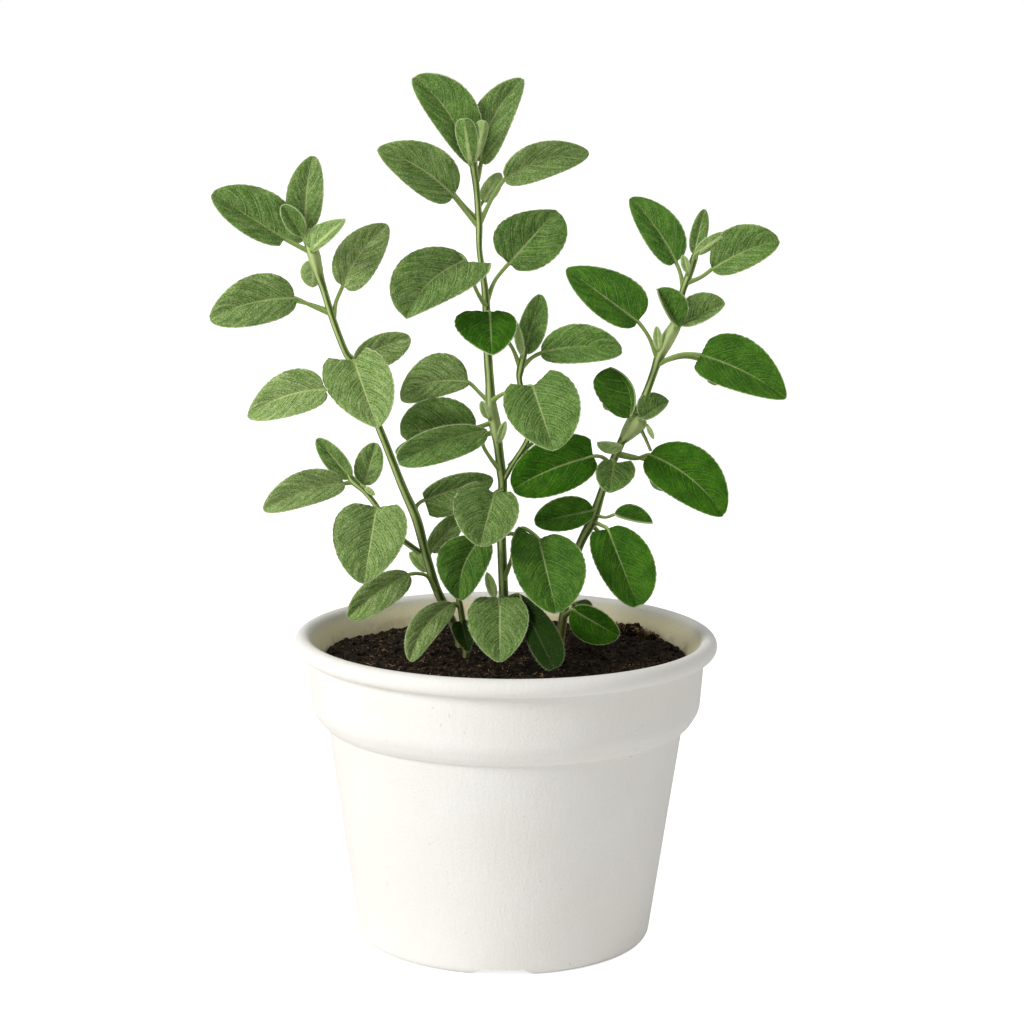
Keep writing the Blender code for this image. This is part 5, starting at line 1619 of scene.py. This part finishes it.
        thick = self.blade_half * (1 - self.margin_thinning * out ** 4) * np.ones_like(along)
        skins = [(middle + normals * side * thick[..., None]).reshape(-1, 3) for side in (1, -1)]
        rows, columns = middle.shape[:2]
        under = rows * columns
        faces = grid_faces(rows, columns)
        rim = np.array([*range(columns), *range(2 * columns - 1, under, columns),
                        *range(under - 2, under - columns - 1, -1),
                        *range(under - 2 * columns, 0, -columns)])
        ahead = np.roll(rim, -1)
        strip = np.stack((rim, rim + under, ahead + under, ahead), axis=1)
        edge = np.minimum(reach * (1 - out), leaf.length * (1 - along))
        seed = number * self.half_seeds[0] + self.half_seeds[1] * (spread > 0)[None, :]
        where = np.stack(np.broadcast_arrays(out * reach, along, vein_count), axis=-1)
        gap = leaf.length / veins * self.vein_slant
        span = np.stack(np.broadcast_arrays(edge, gap, seed), axis=-1)
        tone = max(0.0, leaf.down.value + draw.uniform(-self.tone_stray, self.tone_stray))
        # 1 for young leaves and buds, -1 for leaves that lie in shade and are painted dark
        young = float(leaf.down in (Down.YOUNG, Down.BUD)) - (leaf.down is Down.OLD)
        kinds = [np.broadcast_to((side, tone, young), (under, 3)) for side in (1.0, 0.0)]
        self.blades.add(np.vstack(skins), faces[:, ::-1], faces + under, strip,
                        leaf_where=np.vstack((where.reshape(-1, 3),) * 2),
                        leaf_span=np.vstack((span.reshape(-1, 3),) * 2),
                        leaf_kind=np.vstack(kinds))
        self.fringe(middle, normals, draw)

    def hairy(self, roots: np.ndarray, ways: np.ndarray, stray: float, shares: np.ndarray,
              draw: random.Random) -> None:
        """Adds hairs.

        Args:
            roots: Where each one starts.
            ways: Which way each one would point.
            stray: How far they lean aside from that.
            shares: The length of each as a share of what is drawn, 0 for none.
            draw: Source of their ways and lengths.
        """
        scatter = np.array([[draw.gauss(0, stray) for _ in range(3)] for _ in roots])
        lengths = np.array([draw.uniform(*self.hair_lengths) for _ in roots]) * shares
        kept = lengths > 0
        self.hairs.add(*spikes(roots[kept], (ways + scatter)[kept], lengths[kept],
                               self.hair_radius))

    def fringe(self, middle: np.ndarray, normals: np.ndarray, draw: random.Random) -> None:
        """Adds the fine hairs along a blade's margin and a few on its upper side.

        Args:
            middle: The blade's middle surface, row by row.
            normals: Its upward directions.
            draw: Source of their places and lengths.
        """
        roots, ways = [], []
        for margin, inner in ((0, 1), (-1, -2)):
            line = middle[:, margin]
            travel = travelled(line)
            spots = np.arange(draw.uniform(0, self.hair_gap), travel[-1], self.hair_gap)
            outward = unit(line - middle[:, inner])
            for source, sink in ((line, roots), (outward, ways)):
                sink.append(np.stack([np.interp(spots, travel, column) for column in source.T],
                                     axis=1))
        rows, columns = middle.shape[:2]
        count = int(np.linalg.norm(middle[0, 0] - middle[-1, 0]) * self.top_strip * self.top_hairs)
        picks = np.array([(draw.randrange(1, rows - 1), draw.randrange(1, columns - 1))
                          for _ in range(count)])
        upward = normals[picks[:, 0], picks[:, 1]]
        roots.append(middle[picks[:, 0], picks[:, 1]] + upward * self.top_rise)
        ways.append(upward)
        roots, ways = np.vstack(roots), np.vstack(ways)
        shares = np.ones(len(roots))
        shares[-count:] = self.top_length
        self.hairy(roots, ways, self.hair_stray[0], shares, draw)

    def shaft(self, route: Sequence, is_stalk: bool, draw: random.Random) -> None:
        """Adds a stem or a stalk with its hairs.

        Args:
            route: Corners as across, up, toward and radius.
            is_stalk: Whether it is a leaf's stalk.
            draw: Source of the hairs.
        """
        sides = self.stalk_sides if is_stalk else self.stem_sides
        ridges, ridge = self.stalk_ridges if is_stalk else self.stem_ridges
        line = eased(np.array(route, float), self.step)
        centres, radii = front(line[:, :3]), np.maximum(line[:, 3], self.thinnest)
        rings, faces, where = sweep(centres, radii, sides, ridge, ridges)
        count = len(where)
        points = np.vstack((rings.reshape(-1, 3), rings[0].mean(axis=0), rings[-1].mean(axis=0)))
        kind = np.column_stack((np.full(count + 2, float(is_stalk)), points[:, 2],
                                np.full(count + 2, draw.uniform(0, 9))))
        where = np.vstack((where, where[0], where[-1]))
        self.shafts.add(points, faces, end_fans(count, sides), stem_where=where, stem_kind=kind)

        total = int(where[-1][1] * self.stem_hairs * (self.stalk_share if is_stalk else 1.0))
        picks = np.array([(draw.randrange(1, len(rings) - 1), draw.randrange(sides))
                          for _ in range(total)]).reshape(-1, 2)
        roots = rings[picks[:, 0], picks[:, 1]]
        ways = unit(roots - centres[picks[:, 0]])
        slide = np.array([[draw.uniform(-1, 1)] for _ in roots]).reshape(-1, 1)
        spine = unit(np.gradient(centres, axis=0))[picks[:, 0]]
        self.hairy(roots + spine * slide * self.step * 0.5, ways, self.hair_stray[1],
                   roots[:, 2] > self.hair_line, draw)

    def stalk_route(self, leaf: Leaf, number: int) -> np.ndarray:
        """The corners of a leaf's stalk, from inside the stem to a thin end in the blade.

        Args:
            leaf: The leaf.
            number: Its number on this stem.

        Returns:
            Corners as across, up, toward and radius.
        """
        draw = random.Random(self.seed * self.leaf_seeds + number)
        end, _ = self.places(leaf, np.array((self.stalk_reach,)), np.zeros(1), draw)
        places = np.array([*leaf.stalk, leaf.foot, *end[0]], float)
        radii = np.full(len(places), self.stalk_radii[leaf.small])
        radii[0] *= self.stalk_flare
        radii[-1] = self.stalk_end
        return np.column_stack((places, radii))

    def build(self, leaf_finish: bpy.types.Material, stem_finish: bpy.types.Material,
              hair_finish: bpy.types.Material) -> None:
        """Makes the stems, the blades and the hairs, and lets them stand for the node.

        Args:
            leaf_finish: Material of the blades.
            stem_finish: Material of the stems and stalks.
            hair_finish: Material of the hairs.
        """
        draw = random.Random(self.seed * self.leaf_seeds * 10)
        for shoot in self.shoots:
            self.shaft(shoot, False, draw)
        for number, leaf in enumerate(self.leaves):
            self.shaft(self.stalk_route(leaf, number), True, draw)
            self.blade(leaf, number)
        for patch, kind, finish, sharp in ((self.shafts, "stems", stem_finish, 70),
                                           (self.blades, "blades", leaf_finish, 100),
                                           (self.hairs, "hairs", hair_finish, 180)):
            dressed(patch.build(f"{self.node}_{kind}", finish, sharp), self.node)


# Studio

@dataclass
class Studio:
    """Pale floor, soft light from the left, and the camera of the front view."""

    floor_radius: float = 9.0
    floor_colour: Colour = (250, 250, 250)
    floor_shade: Colour = (244, 244, 242)
    ambient: float = 0.53
    glow: float = 0.01  # light that the floor gives off
    glow_seen: float = 0.72  # and how bright the camera sees that
    key_watts: float = 10.9
    key_place: Place = (-0.95, -0.62, 0.72)
    key_size: float = 0.55
    aim: Place = (0.0, 0.0, 0.14)
    sensor: float = 36.0
    focal_share: float = 2890 / 1024  # focal length over the sensor's width
    pitch: float = 10.06
    roll: float = 0.55

    def floor(self) -> None:
        """A wide pale floor under the pot."""
        shell = bmesh.new()
        bmesh.ops.create_circle(shell, cap_ends=True, segments=96, radius=self.floor_radius)
        mesh = meshed("floor", shell)
        painter = Painter("floor_finish", Specular_IOR_Level=0.1, Emission_Color=(1, 1, 1, 1))
        cloud = painter.grain(1.5, 2.0)
        colour = painter.mix(cloud * 0.2, self.floor_colour, self.floor_shade)
        seen = painter.node("ShaderNodeLightPath", {}, {}, "Is Camera Ray")
        glow = seen * (self.glow_seen - self.glow) + self.glow
        painter.tree.links.new(glow.socket, painter.shader.inputs["Emission Strength"])
        mesh.materials.append(painter.finish(colour, cloud * 0.1 + 0.8, cloud, 0.01, 0.1))
        placed("floor", mesh)

    def world(self) -> None:
        """White all round, which lights the object less than the camera sees it."""
        world = bpy.data.worlds.new("studio")
        world.use_nodes = True
        tree = world.node_tree
        back = tree.nodes["Background"]
        back.inputs["Color"].default_value = (1, 1, 1, 1)
        rays = tree.nodes.new("ShaderNodeLightPath")
        share = tree.nodes.new("ShaderNodeMapRange")
        share.inputs["To Min"].default_value = self.ambient
        share.inputs["To Max"].default_value = 1.0
        tree.links.new(rays.outputs["Is Camera Ray"], share.inputs["Value"])
        tree.links.new(share.outputs["Result"], back.inputs["Strength"])
        bpy.context.scene.world = world

    def light(self) -> None:
        """One broad soft light from the left."""
        data = bpy.data.lights.new("key", "AREA")
        data.shape, data.size, data.energy = "DISK", self.key_size, self.key_watts
        lamp = placed("key", data)
        lamp.location = self.key_place
        aim = Vector(self.aim) - Vector(self.key_place)
        lamp.rotation_euler = aim.to_track_quat("-Z", "Y").to_euler()

    def camera(self) -> None:
        """The camera of the front view."""
        data = bpy.data.cameras.new("camera")
        data.sensor_width, data.lens = self.sensor, self.sensor * self.focal_share
        camera = placed("camera", data)
        camera.location = (EYE_ACROSS * MM, -EYE_AWAY * MM, EYE_UP * MM)
        camera.rotation_euler = (math.radians(90 - self.pitch), 0, 0)
        camera.rotation_euler.rotate_axis("Z", math.radians(self.roll))
        bpy.context.scene.camera = camera

    def build(self) -> None:
        """Sets up the floor, the world, the light and the camera."""
        self.floor()
        self.world()
        self.light()
        self.camera()
        bpy.context.scene.view_settings.view_transform = "Standard"


PLANT = (
    ("leafy_stem_left", LEFT_SHOOTS, LEFT_LEAVES),
    ("young_shoot", YOUNG_SHOOTS, YOUNG_LEAVES),
    ("leafy_stem_middle", MIDDLE_SHOOTS, MIDDLE_LEAVES),
    ("leafy_stem_right", RIGHT_SHOOTS, RIGHT_LEAVES),
)


def corners(box: tuple[Vector, Vector]) -> list[list[float]]:
    """A box's two corners as plain lists."""
    return [list(corner) for corner in box]


def main() -> None:
    """Loads the frame and builds the looks round it."""
    logging.basicConfig(level=logging.INFO, format="%(message)s")
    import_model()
    Studio().build()
    Pot().build()
    Soil().build()
    finishes = (LeafFinish().material(), StemFinish().material(), HairFinish().material())
    for seed, (node, shoots, leaves) in enumerate(PLANT):
        LeafyStem(node, shoots, leaves, seed + 1).build(*finishes)


if __name__ == "__main__":
    main()
